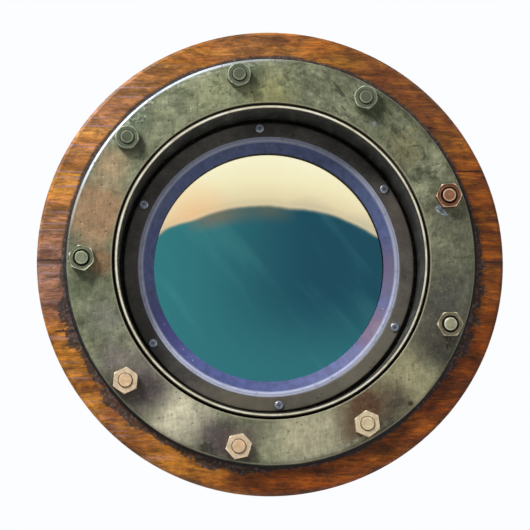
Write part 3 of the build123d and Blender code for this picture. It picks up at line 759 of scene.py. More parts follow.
@dataclass(frozen=True)
class SeaGlass:
    """Thick glass whose tint runs from warm cream at the top to sea green below a soft arched line."""

    name: str
    crown: float
    bend: float
    span: float

    def make(self) -> Material:
        """Return the material."""
        paint = Paint(self.name, tone(120, 190, 186))
        across, upward = paint.place(0), paint.place(2)
        swell = paint.streaks((1.0, 0.0, 1.6), 4.0, 0.5, 0.5, scale=11.0)
        arched = paint.math("ADD", upward, paint.times(across, across, self.bend))
        height = paint.math("ADD", arched, paint.swing(swell, 0.014))
        level = paint.math("DIVIDE", paint.math("SUBTRACT", height, self.crown), self.span)
        scaled = paint.math("ADD", paint.times(level, 0.5), 0.5, clamp=True)
        paint.colour = paint.mix(paint.rescale(across, -0.085, 0.04), tone(42, 120, 124), tone(12, 72, 88))
        paint.lay(tone(42, 116, 122), paint.rescale(upward, -0.015, -0.08, 0.0, 0.8))
        veil = paint.streaks((9.0, 1.0, 60.0), 3.0, 0.5, lean=-52.0)
        paint.lay(tone(84, 158, 156), paint.rescale(veil, 0.5, 0.74, 0.0, 0.16))
        # Painted shade: a brown and a grey-green patch just under the arched line, left of and at the middle.
        near = paint.rescale(level, -0.26, -0.02)
        for place, size, stain_and_shade, strength in (((-0.036, 0.03), 0.028, tone(132, 110, 76), 0.8),
                                             ((-0.002, 0.04), 0.024, tone(96, 100, 82), 0.7)):
            paint.lay(stain_and_shade, paint.spot(place, size, size * 0.9, 0.006, 30.0), near, strength)
        sky = paint.ramp(scaled, (0.5, tone(206, 192, 150)), (0.56, tone(232, 216, 172)),
                         (0.66, tone(246, 236, 190)), (0.85, tone(255, 251, 214)))
        # Painted light and shade in the sky part: a peach glow on the left near the line, and two grey-brown shaded
        # patches on the right.
        for place, size, warm, strength in (((-0.056, 0.036), 0.034, tone(246, 196, 140), 0.75),
                                            ((0.03, 0.036), 0.02, tone(190, 184, 156), 0.7),
                                            ((0.07, 0.024), 0.02, tone(184, 182, 158), 0.8)):
            glow = paint.spot(place, size, size * 0.9, 0.008, 30.0)
            sky = paint.mix(paint.times(glow, strength), sky, warm)
        paint.lay(sky, paint.rescale(scaled, 0.485, 0.515))
        from_line = paint.math("ABSOLUTE", paint.math("SUBTRACT", scaled, 0.512))
        line = paint.math("SUBTRACT", 1.0, paint.math("DIVIDE", from_line, 0.012, clamp=True))
        paint.lay(tone(232, 214, 178), line, 0.55)
        paint.relief(paint.noise(22.0, 2.0, 0.5), 0.1 * MM, 0.3)
        salt = paint.rescale(paint.noise(240.0, 6.0, 0.7), 0.5, 0.75, 0.03, 0.12)
        return paint.done(salt, Transmission_Weight=1.0, IOR=1.45)


@dataclass(frozen=True)
class ScrewSteel:
    """Bright domed screws, each painted darker in a round spot at its head's middle, where the cross recess is."""

    name: str
    centres: Tuple[Pair, ...]
    arm: float
    half_width: float
    bright: Colour = tone(190, 198, 216)

    def make(self) -> Material:
        """Return the material."""
        paint = Paint(self.name, self.bright)
        fine = paint.noise(700.0, 4.0, 0.6)
        paint.lay(tone(120, 124, 132), paint.rescale(fine, 0.4, 0.7))
        for centre in self.centres:
            paint.lay(tone(30, 32, 40), paint.spot(centre, self.arm, self.half_width), 0.6)
        paint.relief(fine, 0.05 * MM, 0.5)
        return paint.done(paint.rescale(fine, 0.3, 0.7, 0.24, 0.4), 0.7)


@dataclass(frozen=True)
class PlainMetal:
    """A small metal part, bright with tarnish in patches and fine tool marks."""

    name: str
    bright: Colour
    tarnish: Colour
    metallic: float = 0.8
    roughness: float = 0.36
    tarnish_low: float = 0.42

    def make(self) -> Material:
        """Return the material."""
        paint = Paint(self.name, self.bright)
        tarnished = paint.clouds(85.0, self.tarnish_low, self.tarnish_low + 0.2)
        fine = paint.noise(520.0, 5.0, 0.65)
        paint.lay(self.tarnish, tarnished)
        paint.shade(paint.rescale(fine, 0.25, 0.75, 0.8, 1.12))
        paint.relief(fine, 0.08 * MM, 0.7)
        return paint.done(paint.math("ADD", paint.times(tarnished, 0.2), self.roughness), self.metallic)


@dataclass(frozen=True)
class Compound:
    """Black rubber or bedding compound, dusty where it is raised."""

    name: str
    body: Colour
    dust: Colour
    lumps: float = 160.0

    def make(self) -> Material:
        """Return the material."""
        paint = Paint(self.name, self.body)
        lumps = paint.noise(self.lumps, 6.0, 0.66)
        paint.lay(self.dust, paint.rescale(lumps, 0.5, 0.78, 0.0, 0.8))
        paint.relief(lumps, 0.5 * MM, 0.9)
        return paint.done(paint.rescale(lumps, 0.3, 0.7, 0.62, 0.86))


@dataclass(frozen=True)
class SaltCrust:
    """Powdery corrosion that grows where water sits."""

    name: str
    pale: Colour
    deep: Colour

    def make(self) -> Material:
        """Return the material."""
        paint = Paint(self.name, self.pale)
        grit = paint.noise(620.0, 7.0, 0.72)
        paint.colour = paint.ramp(grit, (0.38, self.deep), (0.56, self.pale), (0.72, tone(206, 212, 200)))
        paint.relief(grit, 0.4 * MM, 1.0)
        return paint.done(0.9)


# --- surfaces on grids ---


def signed_volume(points: np.ndarray, quads: np.ndarray) -> float:
    """Return the volume inside the faces, negative if they point inwards, from the sum of corner products."""
    a, b, c, d = (points[quads[:, i]] for i in range(4))
    return float(np.einsum("ij,ij->", a, np.cross(b, c)) + np.einsum("ij,ij->", a, np.cross(c, d))) / 6


def grid_faces(rows: int, columns: int, close_rows: bool) -> np.ndarray:
    """Return the four corners of each cell of a grid that closes along its columns.

    Args:
        rows: how many rings of points there are.
        columns: points in each ring.
        close_rows: whether the last ring joins the first.

    Returns:
        An array of corner indices, one line for each cell.
    """
    row = np.arange(rows if close_rows else rows - 1)[:, None]
    column = np.arange(columns)[None, :]
    after_row, after_column = (row + 1) % rows, (column + 1) % columns
    corners = [row * columns + column, row * columns + after_column,
               after_row * columns + after_column, after_row * columns + column]
    return np.stack([np.broadcast_to(part, (len(row), columns)).ravel() for part in corners], axis=1)


@dataclass
class Shell:
    """One closed surface of rings of points. Ends that aren't joined are closed by a point in their middle."""

    rings: np.ndarray
    joined: bool = False
    worn: Optional[np.ndarray] = None

    def wear(self, count: int) -> np.ndarray:
        """Return each point's value of the worn attribute, taken from its ring, and none on the end points; the nuts
        use it to place a painted edge highlight.
        """
        made = np.zeros(count)
        if self.worn is not None:
            rows, columns, _ = self.rings.shape
            made[:rows * columns] = np.repeat(self.worn, columns)
        return made

    def parts(self) -> Tuple[np.ndarray, np.ndarray, np.ndarray]:
        """Return the points, the four-cornered faces and the three-cornered faces of the end caps."""
        rows, columns, _ = self.rings.shape
        points = self.rings.reshape(-1, 3)
        quads = grid_faces(rows, columns, self.joined)
        triangles = np.empty((0, 3), int)
        inwards = signed_volume(points - points.mean(axis=0), quads) < 0
        if not self.joined:
            step = np.arange(columns)
            after = (step + 1) % columns
            first = np.stack([after, step, np.full(columns, len(points))], axis=1)
            base = (rows - 1) * columns
            last = np.stack([base + step, base + after, np.full(columns, len(points) + 1)], axis=1)
            triangles = np.concatenate([first, last])
            points = np.concatenate([points, [self.rings[0].mean(axis=0), self.rings[-1].mean(axis=0)]])
        if inwards:
            quads, triangles = quads[:, ::-1], triangles[:, ::-1]
        return points, quads, triangles


def make_piece(name: str, shells: Sequence[Shell], material: Material, body: str,
               stands_for: Sequence[str] = (), smooth_angle: float = 38.0) -> bpy.types.Object:
    """Args:
        name: the piece's name.
        shells: its closed surfaces.
        material: its finish.
        body: the body it rides on.
        stands_for: the CAD nodes that it stands for.
        smooth_angle: the sharpest fold that still looks smooth, in degrees.

    Returns:
        The new object.
    """
    points: List[np.ndarray] = []
    wear: List[np.ndarray] = []
    faces: List[list] = []
    count = 0
    for shell in shells:
        own, quads, triangles = shell.parts()
        points.append(own)
        wear.append(shell.wear(len(own)))
        faces.extend((quads + count).tolist() + (triangles + count).tolist())
        count += len(own)
    mesh = bpy.data.meshes.new(name)
    mesh.from_pydata(np.concatenate(points).tolist(), [], faces)
    if any(shell.worn is not None for shell in shells):
        values = np.concatenate(wear).astype(np.float32)
        mesh.attributes.new("worn", "FLOAT", "POINT").data.foreach_set("value", values)
    mesh.validate()
    mesh.shade_smooth()
    mesh.set_sharp_from_angle(angle=math.radians(smooth_angle))
    mesh.materials.append(material)
    piece = link(bpy.data.objects.new(name, mesh))
    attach(piece, body)
    if stands_for:
        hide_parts(*stands_for)
    log.info("%s: %d faces on %s", name, len(faces), body)
    return piece


def link(thing: bpy.types.Object) -> bpy.types.Object:
    """Put an object into the scene and return it."""
    bpy.context.scene.collection.objects.link(thing)
    return thing


def waver(angle: np.ndarray, seed: int, terms: int = 9, lowest: int = 2) -> np.ndarray:
    """Return a wavering value round a circle: a sum of sines whose pitch rises and height falls.

    Args:
        angle: the angles, in radians.
        seed: which wavering.
        terms: how many sines.
        lowest: the first sine's waves round the circle.

    Returns:
        Values of about -1 to 1.
    """
    chance = np.random.default_rng(seed)
    pitch = (lowest * 1.62 ** np.arange(terms)).round()
    height = 1 / (1 + np.arange(terms)) ** 0.7
    phase = chance.uniform(0, 2 * math.pi, terms)
    return (np.sin(angle[..., None] * pitch + phase) * height).sum(axis=-1) / height.sum()


def around_axis(radius: np.ndarray, along: np.ndarray, angle: np.ndarray) -> np.ndarray:
    """Place points about the porthole's axis: x and z are the radius times the angle's cosine and sine."""
    radius, along, angle = np.broadcast_arrays(radius, along, angle)
    return np.stack([radius * np.cos(angle), along, radius * np.sin(angle)], axis=-1)


def turns(count: int) -> np.ndarray:
    """Return one line of evenly spaced angles once round, without the last that meets the first."""
    return np.linspace(0, 2 * math.pi, count, endpoint=False)[None, :]


def rows_of(*values: float) -> np.ndarray:
    """Return values one under the other, one for each ring."""
    return np.array(values)[:, None]


def arc(centre: Pair, radius: float, start: float, end: float, count: int) -> np.ndarray:
    """Return points of an arc in radius and height, between two angles in degrees."""
    angle = np.radians(np.linspace(start, end, count))
    return np.stack([centre[0] + radius * np.cos(angle), centre[1] + radius * np.sin(angle)], axis=-1)


def even(start: Pair, end: Pair, count: int) -> np.ndarray:
    """Return points along a straight run, without its last."""
    share = np.linspace(0, 1, count, endpoint=False)[:, None]
    return np.array(start) * (1 - share) + np.array(end) * share


# --- the outboard ring and its bead ---


@dataclass
class TrimRing:
    """The bolted outboard ring: a flat face that has lost its truth a little, and a worn rounded rim."""

    outer: float
    front: float
    back: float
    rim_round: float = 2.2 * MM
    bore_round: float = 0.7 * MM
    unevenness: float = 0.16 * MM

    def outline(self) -> np.ndarray:
        """Return the section's outline as radius and height: bore, face, rounded rim, side and back."""
        bore, outer, front, back, rim, small = (TRIM_BORE, self.outer, self.front, self.back, self.rim_round,
                                                self.bore_round)
        return np.concatenate([
            even((bore, back), (bore, front + small), 5),
            arc((bore + small, front + small), small, 180, 270, 5),
            even((bore + 1.6 * small, front), (outer - 1.1 * rim, front), 26),
            arc((outer - rim, front + rim), rim, 270, 360, 9),
            even((outer, front + 1.2 * rim), (outer, back), 5),
            even((outer, back), (bore, back), 10),
        ])

    def build(self, material: Material) -> bpy.types.Object:
        """Build the ring in a finish. Its rim and face sink by a wavering amount, most at the rim."""
        outline = self.outline()
        angle = turns(720)
        radius, along = outline[:, :1], outline[:, 1:]
        rim_share = np.clip((radius - TRIM_BORE) / (self.outer - TRIM_BORE), 0, 1) ** 3
        front_share = np.clip((self.back - along) / (self.back - self.front), 0, 1)
        wave = 0.5 + 0.5 * waver(angle, 11, 12, 3)
        nicks = np.clip(waver(angle, 5, 10, 37) - 0.45, 0, 1) * 2.4
        sink = self.unevenness * front_share * (wave * (0.35 + rim_share) + nicks * rim_share)
        face = around_axis(radius - sink * rim_share, along + sink, angle)
        return make_piece("trim_ring_worn", [Shell(face, True)], material, "frame", ["trim_ring"])


@dataclass
class BeddingBead:
    """Bedding compound that squeezed out round the trim ring in an uneven bead."""

    flange: float
    outer: float
    front: float
    back: float

    def build(self, material: Material) -> bpy.types.Object:
        """Build the bead in a finish: a lens whose width and height waver round the ring."""
        angle = turns(720)
        bore, lap = TRIM_BORE + 1.0 * MM, 0.3 * MM
        width = (self.outer - self.flange) * np.clip(0.62 + 0.5 * waver(angle, 3, 11, 4), 0.2, 1.0)
        height = (self.back - self.front) * np.clip(0.66 + 0.5 * waver(angle, 8, 11, 5), 0.25, 1.0)
        lean = np.linspace(0, math.pi / 2, 9)[:, None]
        inner = around_axis(rows_of(bore, bore, self.flange - lap),
                            rows_of(self.back, self.back - 1.4 * MM, self.back - 1.4 * MM), angle)
        crown = around_axis(self.flange - lap + (width + lap) * np.sin(lean), self.back - height * np.cos(lean), angle)
        return make_piece("bedding_bead", [Shell(np.concatenate([inner, crown]), True)], material, "frame",
                          ["trim_bedding_seal"])


# --- nuts and bolts ---


def hexagon(angle: np.ndarray, corner: float) -> np.ndarray:
    """Return a nut's radius: half its width across flats over the cosine of the angle from the nearest flat."""
    from_flat = np.mod(angle - corner, math.pi / 3) - math.pi / 6
    return NUT_FLATS / 2 / np.cos(from_flat)


def softer_of(first: np.ndarray, second: np.ndarray, softness: float) -> np.ndarray:
    """Return the smaller of two lengths, rounded off where they meet."""
    near = np.minimum(first, second)
    return near - softness * np.log(np.exp(-(first - near) / softness) + np.exp(-(second - near) / softness))


@dataclass
class FrameFastener:
    """One frame bolt with its nut, aged in its own way."""

    number: int
    centre: Pair
    look: NutLook
    corner: float
    nut_front: float
    nut_back: float
    bolt_front: float
    head_back: float
    columns: int = 192

    def _placed(self, radius: np.ndarray, along: np.ndarray) -> np.ndarray:
        """Place rings about this bolt's own axis."""
        points = around_axis(radius, along, turns(self.columns))
        return points + np.array([self.centre[0], 0.0, self.centre[1]])

    def nut(self, material: Material) -> bpy.types.Object:
        """Build the nut in a finish: a hexagon limited by a cone at its front, with a countersunk bore."""
        crusted = self.look is NutLook.CRUSTED
        angle = turns(self.columns)
        sides = hexagon(angle, self.corner)
        if crusted:
            sides = softer_of(sides, np.full_like(sides, NUT_FLATS / 2 * 1.09), 0.4 * MM)
        depth = self.nut_back - self.nut_front
        share = np.concatenate([np.linspace(0, 0.3, 9), np.linspace(0.36, 1.0, 8)])[:, None]
        cone = NUT_FLATS / 2 * (0.96 if crusted else 1.05) + share * depth * (0.9 if crusted else 1.35)
        wall = softer_of(sides, cone, (0.3 if crusted else 0.1) * MM)
        wall = wall - np.abs((0.22 if crusted else 0.05) * MM * waver(angle, 40 + 7 * self.number, 7, 3))
        sink = {NutLook.CRUSTED: 0.4, NutLook.PINK: 0.35}.get(self.look, 1.3) * MM
        bore = BOLT_RADIUS + 0.06 * MM
        steps = rows_of(0.0, 0.2, 0.4, 0.6, 0.76, 0.88, 0.96)
        face = bore + sink + (wall[:1] - bore - sink) * steps
        dish = 0.25 * MM * np.sin(math.pi * steps) if self.look in (NutLook.COPPER, NutLook.GREENED) else 0.0
        rings = np.concatenate([
            self._placed(rows_of(bore, bore), rows_of(self.nut_back, self.nut_front + sink)),
            self._placed(face, self.nut_front + 0.05 * MM * (1 - steps) + dish),
            self._placed(wall, self.nut_front + share * depth),
        ])
        # The worn values mark the face's outer edge, where the bolt's finish paints a highlight.
        worn = np.zeros(len(rings))
        worn[1 + len(steps):6 + len(steps)] = (0.9, 1.0, 1.0, 0.7, 0.3)
        return make_piece(f"frame_nut_worn_{self.number}", [Shell(rings, True, worn)], material, "frame",
                          [f"frame_nut_{self.number}"], 30.0)

    def bolt(self, material: Material) -> bpy.types.Object:
        """Build the bolt in a finish: a hexagon head inboard and a shank whose end is worn round."""
        domed = self.look is NutLook.BRASS
        lean = np.radians(np.linspace(4, 90, 9))[:, None]
        drop = (self.nut_front - self.bolt_front) * (0.95 if domed else 0.45)
        inset = BOLT_RADIUS * (0.55 if domed else 0.14)
        end_radius = BOLT_RADIUS - inset + inset * np.sin(lean)
        flat = np.linspace(0.15, 0.95, 5)[:, None] * end_radius[0]
        head_front = self.head_back - BOLT_HEAD
        end_along = self.bolt_front + drop * (1 - np.cos(lean))
        shank = self._placed(np.concatenate([flat, end_radius, rows_of(BOLT_RADIUS)]),
                             np.concatenate([0 * flat + self.bolt_front, end_along, rows_of(head_front)]))
        share = np.concatenate([np.linspace(0, 0.75, 6), np.linspace(0.8, 1.0, 6)])[:, None]
        cone = NUT_FLATS / 2 * 0.95 + (1 - share) * BOLT_HEAD * 1.7
        wall = softer_of(hexagon(turns(self.columns), self.corner), cone, 0.2 * MM)
        head = self._placed(wall, head_front + share * BOLT_HEAD)
        crown = self._placed(wall[-1:] * rows_of(0.9, 0.4), rows_of(self.head_back, self.head_back))
        return make_piece(f"frame_bolt_worn_{self.number}", [Shell(shank), Shell(np.concatenate([head, crown]))],
                          material, "frame", [f"frame_bolt_{self.number}"], 30.0)


# --- dogs ---


@dataclass
class Dog:
    """One swing bolt and its wing nut: its pivot, the way its bolt points and its pivot pin's direction."""

    side: str
    pivot: np.ndarray
    pointing: np.ndarray
    across: np.ndarray
    bolt_length: float = 36.0 * MM
    thread_pitch: float = 1.5 * MM
    thread_depth: float = 0.45 * MM
    eye_radius: float = 7.0 * MM
    eye_bore: float = 3.06 * MM
    eye_half: float = 5.5 * MM
    nut_base: float = 22.8 * MM
    hub_radius: float = 8.0 * MM
    hub_height: float = 10.0 * MM
    wing_reach: float = 14.6 * MM

    @classmethod
    def read(cls, side: str) -> "Dog":
        """Read the upper or lower dog's place from the record's joints."""
        joints = {joint["name"]: joint for joint in frame["joints"]}
        swing, travel = joints[f"{side}_dog_swing"], joints[f"{side}_nut_travel"]
        return cls(side, np.array(swing["pos_m"]), -np.array(travel["axis"]), np.array(swing["axis"]))

    def put(self, beside: np.ndarray, ahead: np.ndarray, across: np.ndarray) -> np.ndarray:
        """Place points given sideways, ahead along the bolt, and along the pivot pin."""
        sideways = np.cross(self.pointing, self.across)
        beside, ahead, across = (part[..., None] for part in np.broadcast_arrays(beside, ahead, across))
        return self.pivot + beside * sideways + ahead * self.pointing + across * self.across

    def swing_bolt(self, material: Material) -> bpy.types.Object:
        """Build the eye bolt. The thread's radius falls and rises once a pitch, shifted round by one turn.

        Args:
            material: its finish.

        Returns:
            The piece.
        """
        angle = turns(48)
        along = np.linspace(0, self.bolt_length - 0.6 * MM, 260)[:, None]
        phase = np.mod(along / self.thread_pitch - angle / (2 * math.pi), 1)
        ridge = 1 - np.abs(2 * phase - 1)
        begun = np.clip((along - 0.42 * self.bolt_length) / (2 * MM), 0, 1)
        radius = BOLT_RADIUS - 0.05 * MM - self.thread_depth * (1 - ridge) * begun
        radius = np.concatenate([radius, BOLT_RADIUS * rows_of(0.85, 0.45) + 0 * angle])
        along = np.concatenate([along, rows_of(self.bolt_length - 0.2 * MM, self.bolt_length)])
        shank = self.put(radius * np.cos(angle), along, radius * np.sin(angle))
        bore, outer, half, small, large = self.eye_bore, self.eye_radius, self.eye_half, 0.8 * MM, 1.3 * MM
        section = np.concatenate([
            even((bore, -half), (bore, half), 4),
            arc((bore + small, half - small), small, 180, 90, 5),
            arc((outer - large, half - large), large, 90, 0, 6),
            arc((outer - large, large - half), large, 0, -90, 6),
            arc((bore + small, small - half), small, 270, 180, 5),
        ])
        round_eye = turns(72)
        eye = self.put(section[:, :1] * np.cos(round_eye), section[:, :1] * np.sin(round_eye), section[:, 1:])
        return make_piece(f"swing_bolt_threaded_{self.side}", [Shell(shank), Shell(eye, True)], material,
                          f"{self.side}_swing_bolt", [f"swing_bolt_{self.side}"])

    def wing_nut(self, material: Material) -> bpy.types.Object:
        """Build the wing nut: a tapered hub, and two wings that are flattened egg shapes leaning outwards.

        Args:
            material: its finish.

        Returns:
            The piece.
        """
        bore, base, top = BOLT_RADIUS + 0.05 * MM, self.nut_base, self.nut_base + self.hub_height
        hub_radius, small = self.hub_radius, 0.8 * MM
        outline = np.concatenate([
            even((bore, top), (bore, base), 6),
            even((bore, base), (hub_radius - small, base), 3),
            arc((hub_radius - small, base + small), small, -90, 0, 5),
            even((hub_radius, base + 1.0 * MM), (hub_radius - 0.9 * MM, top - 1.0 * MM), 6),
            arc((hub_radius - 1.7 * MM, top - small), small, 0, 90, 5),
        ])
        angle = turns(72)
        hub = self.put(outline[:, :1] * np.cos(angle), outline[:, 1:], outline[:, :1] * np.sin(angle))
        shells = [Shell(hub, True), Shell(self._wing(-1.0)), Shell(self._wing(1.0))]
        return make_piece(f"wing_nut_cast_{self.side}", shells, material, f"{self.side}_wing_nut",
                          [f"wing_nut_{self.side}"], 60.0)

    def _wing(self, way: float) -> np.ndarray:
        """Return one wing's rings: ovals carried outwards from the hub, that rise, widen and close.

        Args:
            way: -1 or 1, the side of the hub.

        Returns:
            The rings of points.
        """
        share = np.linspace(0, 1, 30)[:, None]
        angle = turns(32)
        inner = BOLT_RADIUS + 1.0 * MM
        outward = inner + (self.wing_reach - inner) * np.sin(share * math.pi / 2)
        middle = self.nut_base + self.hub_height * (0.48 + 0.42 * share)
        closing = np.sqrt(np.clip(1 - share ** 4, 0, 1)) * 0.985 + 0.015
        tall = (3.4 + 2.2 * np.sin(share * math.pi * 0.62)) * MM * closing
        thick = (2.1 - 0.5 * share) * MM * closing
        return self.put(thick * np.cos(angle), middle + tall * np.sin(angle), way * outward)


# --- growths ---


@dataclass
class Crust:
    """A low patch of powdery corrosion beside a nut."""

    name: str
    radius: float
    degrees: float
    size: Pair
    turn: float
    base: float
    height: float
    seed: int

    def build(self, material: Material) -> bpy.types.Object:
        """Build the patch in a finish: a lumpy mound on an oval foot, whose edge wavers."""
        angle = turns(72)
        share = np.linspace(0.04, 1, 22)[:, None]
        edge = 1 + 0.3 * waver(angle, self.seed, 8, 3)
        lumps = 0.62 + 0.5 * waver(angle + share * 9, self.seed + 1, 8, 4)
        rise = self.height * np.clip(1 - share ** 2, 0, 1) * np.clip(lumps, 0.15, 1.0)
        along = self.size[0] * share * edge * np.cos(angle)
        across = self.size[1] * share * edge * np.sin(angle)
        turn = math.radians(self.turn)
        x, z = on_circle(self.radius, self.degrees)
        top = np.stack([x + along * math.cos(turn) - across * math.sin(turn), self.base - rise,
                        z + along * math.sin(turn) + across * math.cos(turn)], axis=-1)
        foot = top[-1:].copy()
        foot[..., 1] = self.base + 0.3 * MM
        return make_piece(self.name, [Shell(np.concatenate([top, foot]))], material, "frame", smooth_angle=80.0)


# --- the whole porthole ---


@dataclass
class Porthole:
    """The whole porthole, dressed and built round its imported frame."""

    bolt_turns: Dict[int, Tuple[NutLook, float]] = field(default_factory=lambda: {
        1: (NutLook.COPPER, 3.0), 2: (NutLook.CRUSTED, 48.0), 3: (NutLook.CRUSTED, 20.0), 4: (NutLook.CRUSTED, 52.0),
        5: (NutLook.GREENED, 43.0), 6: (NutLook.PINK, 25.0), 7: (NutLook.PINK, 12.0), 8: (NutLook.PINK, 37.0),
        9: (NutLook.BRASS, 1.0)})

    def build(self) -> None:
        """Build and dress every piece, in order from outboard to inboard."""
        self._pads()
        self._trim()
        self._fasteners()
        self._frame()
        self._light()
        self._dogs()
        self._growths()

    def _paint(self, material: Material, *nodes: str) -> None:
        """Give carried-over nodes their finish."""
        for node in nodes:
            mesh = frame["nodes"][node].data
            mesh.materials.clear()
            mesh.materials.append(material)
            log.info("%s: %s", node, material.name)

    def _middle(self, node: str) -> Pair:
        """Return the x and z of the middle of a node."""
        low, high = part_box(node)
        return (low.x + high.x) / 2, (low.z + high.z) / 2

    def _pads(self) -> None:
        """Dress both planks of the wooden pad."""
        flange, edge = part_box("trim_ring")[1].x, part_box("pad_upper")[1].x
        middle = WOOD_MIDDLE
        weathering = patches(
            (middle, 14, 90, (124, 60, 8), 0.92, 0.7), (middle, -30, 100, (122, 54, 0), 0.95, 0.6),
            (middle, -80, 90, (126, 58, 2), 0.92, 0.6), (middle, 52, 75, (102, 54, 24), 0.9, 0.7),
            (middle, 180, 55, (154, 116, 104), 0.8, 0.9), (middle, 135, 70, (166, 118, 84), 0.6, 0.9),
            (middle, 95, 50, (142, 96, 60), 0.65, 0.9), (160, 205, 26, (184, 120, 34), 0.7, 0.9),
            (163, 242, 24, (186, 118, 30), 0.7, 0.9), (163, 225, 18, (132, 70, 40), 0.7, 0.9),
            (163, 160, 20, (178, 122, 54), 0.6, 0.9), (163, -48, 14, (164, 88, 24), 0.6, 0.9))
        upper = VarnishedWood("upper_plank", flange, 0.31, ((0.112, 0.123, 0.1), (0.131, edge, 0.068)), weathering)
        lower = VarnishedWood("lower_plank", flange, -0.47, ((-0.16, -0.142, -0.052),), weathering)
        self._paint(upper.make(), "pad_upper")
        self._paint(lower.make(), "pad_lower")

    def _trim(self) -> None:
        """Build and dress the outboard ring and its bedding bead."""
        low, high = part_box("trim_ring")
        bead_low, bead_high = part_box("trim_bedding_seal")
        TrimRing(high.x, low.y, high.y).build(self._trim_finish(high.x).make())
        bead = BeddingBead(high.x, bead_high.x, bead_low.y, bead_high.y)
        bead.build(Compound("bedding_compound_black", tone(18, 17, 18), tone(56, 50, 46)).make())

    def _trim_finish(self, outer: float) -> TrimBronze:
        """Return the outboard ring's finish, with its stains and the painted shadows beside the lower nuts, by where
        they lie round it.
        """
        violet, moss = (72, 62, 64), (70, 80, 54)
        middle, bolt = TRIM_MIDDLE, BOLT_CIRCLE
        stains_and_shadows = patches(
            (middle, 283, 44, (180, 174, 144), 0.95, 0.8), (middle, 318, 36, (160, 154, 118), 0.9, 0.8),
            (middle, 240, 34, (206, 200, 172), 0.95, 0.7), (middle, 222, 30, (144, 136, 128), 0.8, 0.8),
            (middle, 352, 34, (78, 76, 68), 0.75, 0.8), (136, 12, 30, (92, 90, 74), 0.7, 0.8),
            (124, 90, 24, (156, 154, 98), 0.6, 0.7), (129, 108, 26, (146, 150, 112), 0.7, 0.8),
            (middle, 165, 29, (156, 124, 92), 0.95, 0.5), (136, 150, 18, (172, 146, 112), 0.75, 0.7),
            (124, 181, 13, (138, 106, 74), 0.8, 0.6), (141, 188, 15, moss, 0.7, 0.8),
            (128, 200, 20, (122, 122, 110), 0.8, 0.8), (128, 40, 20, (140, 134, 96), 0.6, 0.8),
            # Painted shadow: the dark patches close beside the nuts at about 220°, 260°, 300° and 340° are partly stain
            # and partly painted shadow of the nuts.
            (132, 226, 25, violet, 0.92, 0.7), (143, 220, 18, (58, 50, 46), 0.85, 0.8),
            (136, 212, 16, (118, 110, 106), 0.8, 0.8), (137, 252, 24, (90, 80, 80), 0.9, 0.8),
            (bolt, 257, 22, violet, 0.92, 0.7), (145, 262, 12, (60, 52, 46), 0.8, 0.8),
            (130, 262, 16, (106, 98, 88), 0.7, 0.8), (128, 303, 27, (92, 60, 38), 0.95, 0.7),
            (138, 311, 18, (66, 54, 46), 0.85, 0.8), (139, 296, 18, (88, 66, 48), 0.85, 0.8),
            (145, 306, 10, (60, 54, 44), 0.8, 0.8), (132, 335, 26, (80, 74, 66), 0.9, 0.7),
            (144, 331, 17, (56, 54, 46), 0.85, 0.8), (132, 346, 24, (78, 76, 70), 0.85, 0.8),
            (bolt, 96, 14, moss, 0.75, 0.8), (bolt, 55, 17, moss, 0.8, 0.8),
            (142, 134, 13, (92, 112, 88), 0.75, 0.8), (bolt, 22, 16, moss, 0.6, 0.8),
            (132, 139, 10, (74, 72, 60), 0.85, 0.8), (127, 53.2, 2.2, (132, 146, 158), 0.9, 0.5, 0.2),
            (144, -26, 2.4, (26, 24, 20), 0.95, 0.4, 0.3), (146, -46, 2.4, (40, 38, 26), 0.9, 0.4, 0.9, 300.0),
            (145, 251, 4.4, (48, 50, 34), 0.8, 0.2, 1.6, 420.0))
        return TrimBronze("weathered_bronze_trim", tone(152, 156, 124), tone(116, 120, 94), tone(74, 78, 56), stains_and_shadows,
                          outer=outer)

    def _fasteners(self) -> None:
        """Build the nine bolts and nuts, each in its own finish."""
        for number, (look, corner) in self.bolt_turns.items():
            nut_low, nut_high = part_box(f"frame_nut_{number}")
            bolt_low, bolt_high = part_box(f"frame_bolt_{number}")
            centre = self._middle(f"frame_nut_{number}")
            fastener = FrameFastener(number, centre, look, math.radians(corner), nut_low.y, nut_high.y, bolt_low.y,
                                     bolt_high.y)
            tones = CREAM if number == CREAM_NUT else TONES[look]
            material = FastenerBronze(f"{look.value}_bronze_{number}", centre, tones).make()
            fastener.nut(material)
            fastener.bolt(material)

    def _frame(self) -> None:
        """Dress the main frame, its gaskets and its pins."""
        self._paint(FrameCasting("frame_bronze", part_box("main_frame")[0].y).make(), "main_frame")
        self._paint(Compound("black_rubber_seal", tone(22, 22, 23), tone(52, 50, 47), 300.0).make(),
                    "frame_gasket", "seat_seal")
        self._paint(PlainMetal("pin_bronze", tone(196, 164, 116), tone(118, 96, 64)).make(), "hinge_pin",
                    "hinge_split_pin", "dog_pin_upper", "dog_pin_lower", "dog_split_pin_upper", "dog_split_pin_lower")

    def _turned(self, name: str, node: str, slot: str, finish: Material, *runs: np.ndarray) -> None:
        """Build a ring of the light by carrying a section's outline once round the axis.

        Args:
            name: the piece's name.
            node: the CAD node that it stands for.
            slot: not used.
            finish: its material.
            *runs: the runs of the outline, in radius and height.
        """
        outline = np.concatenate(runs)
        face = around_axis(outline[:, :1], outline[:, 1:], turns(360))
        make_piece(name, [Shell(face, True)], finish, "light", [node])

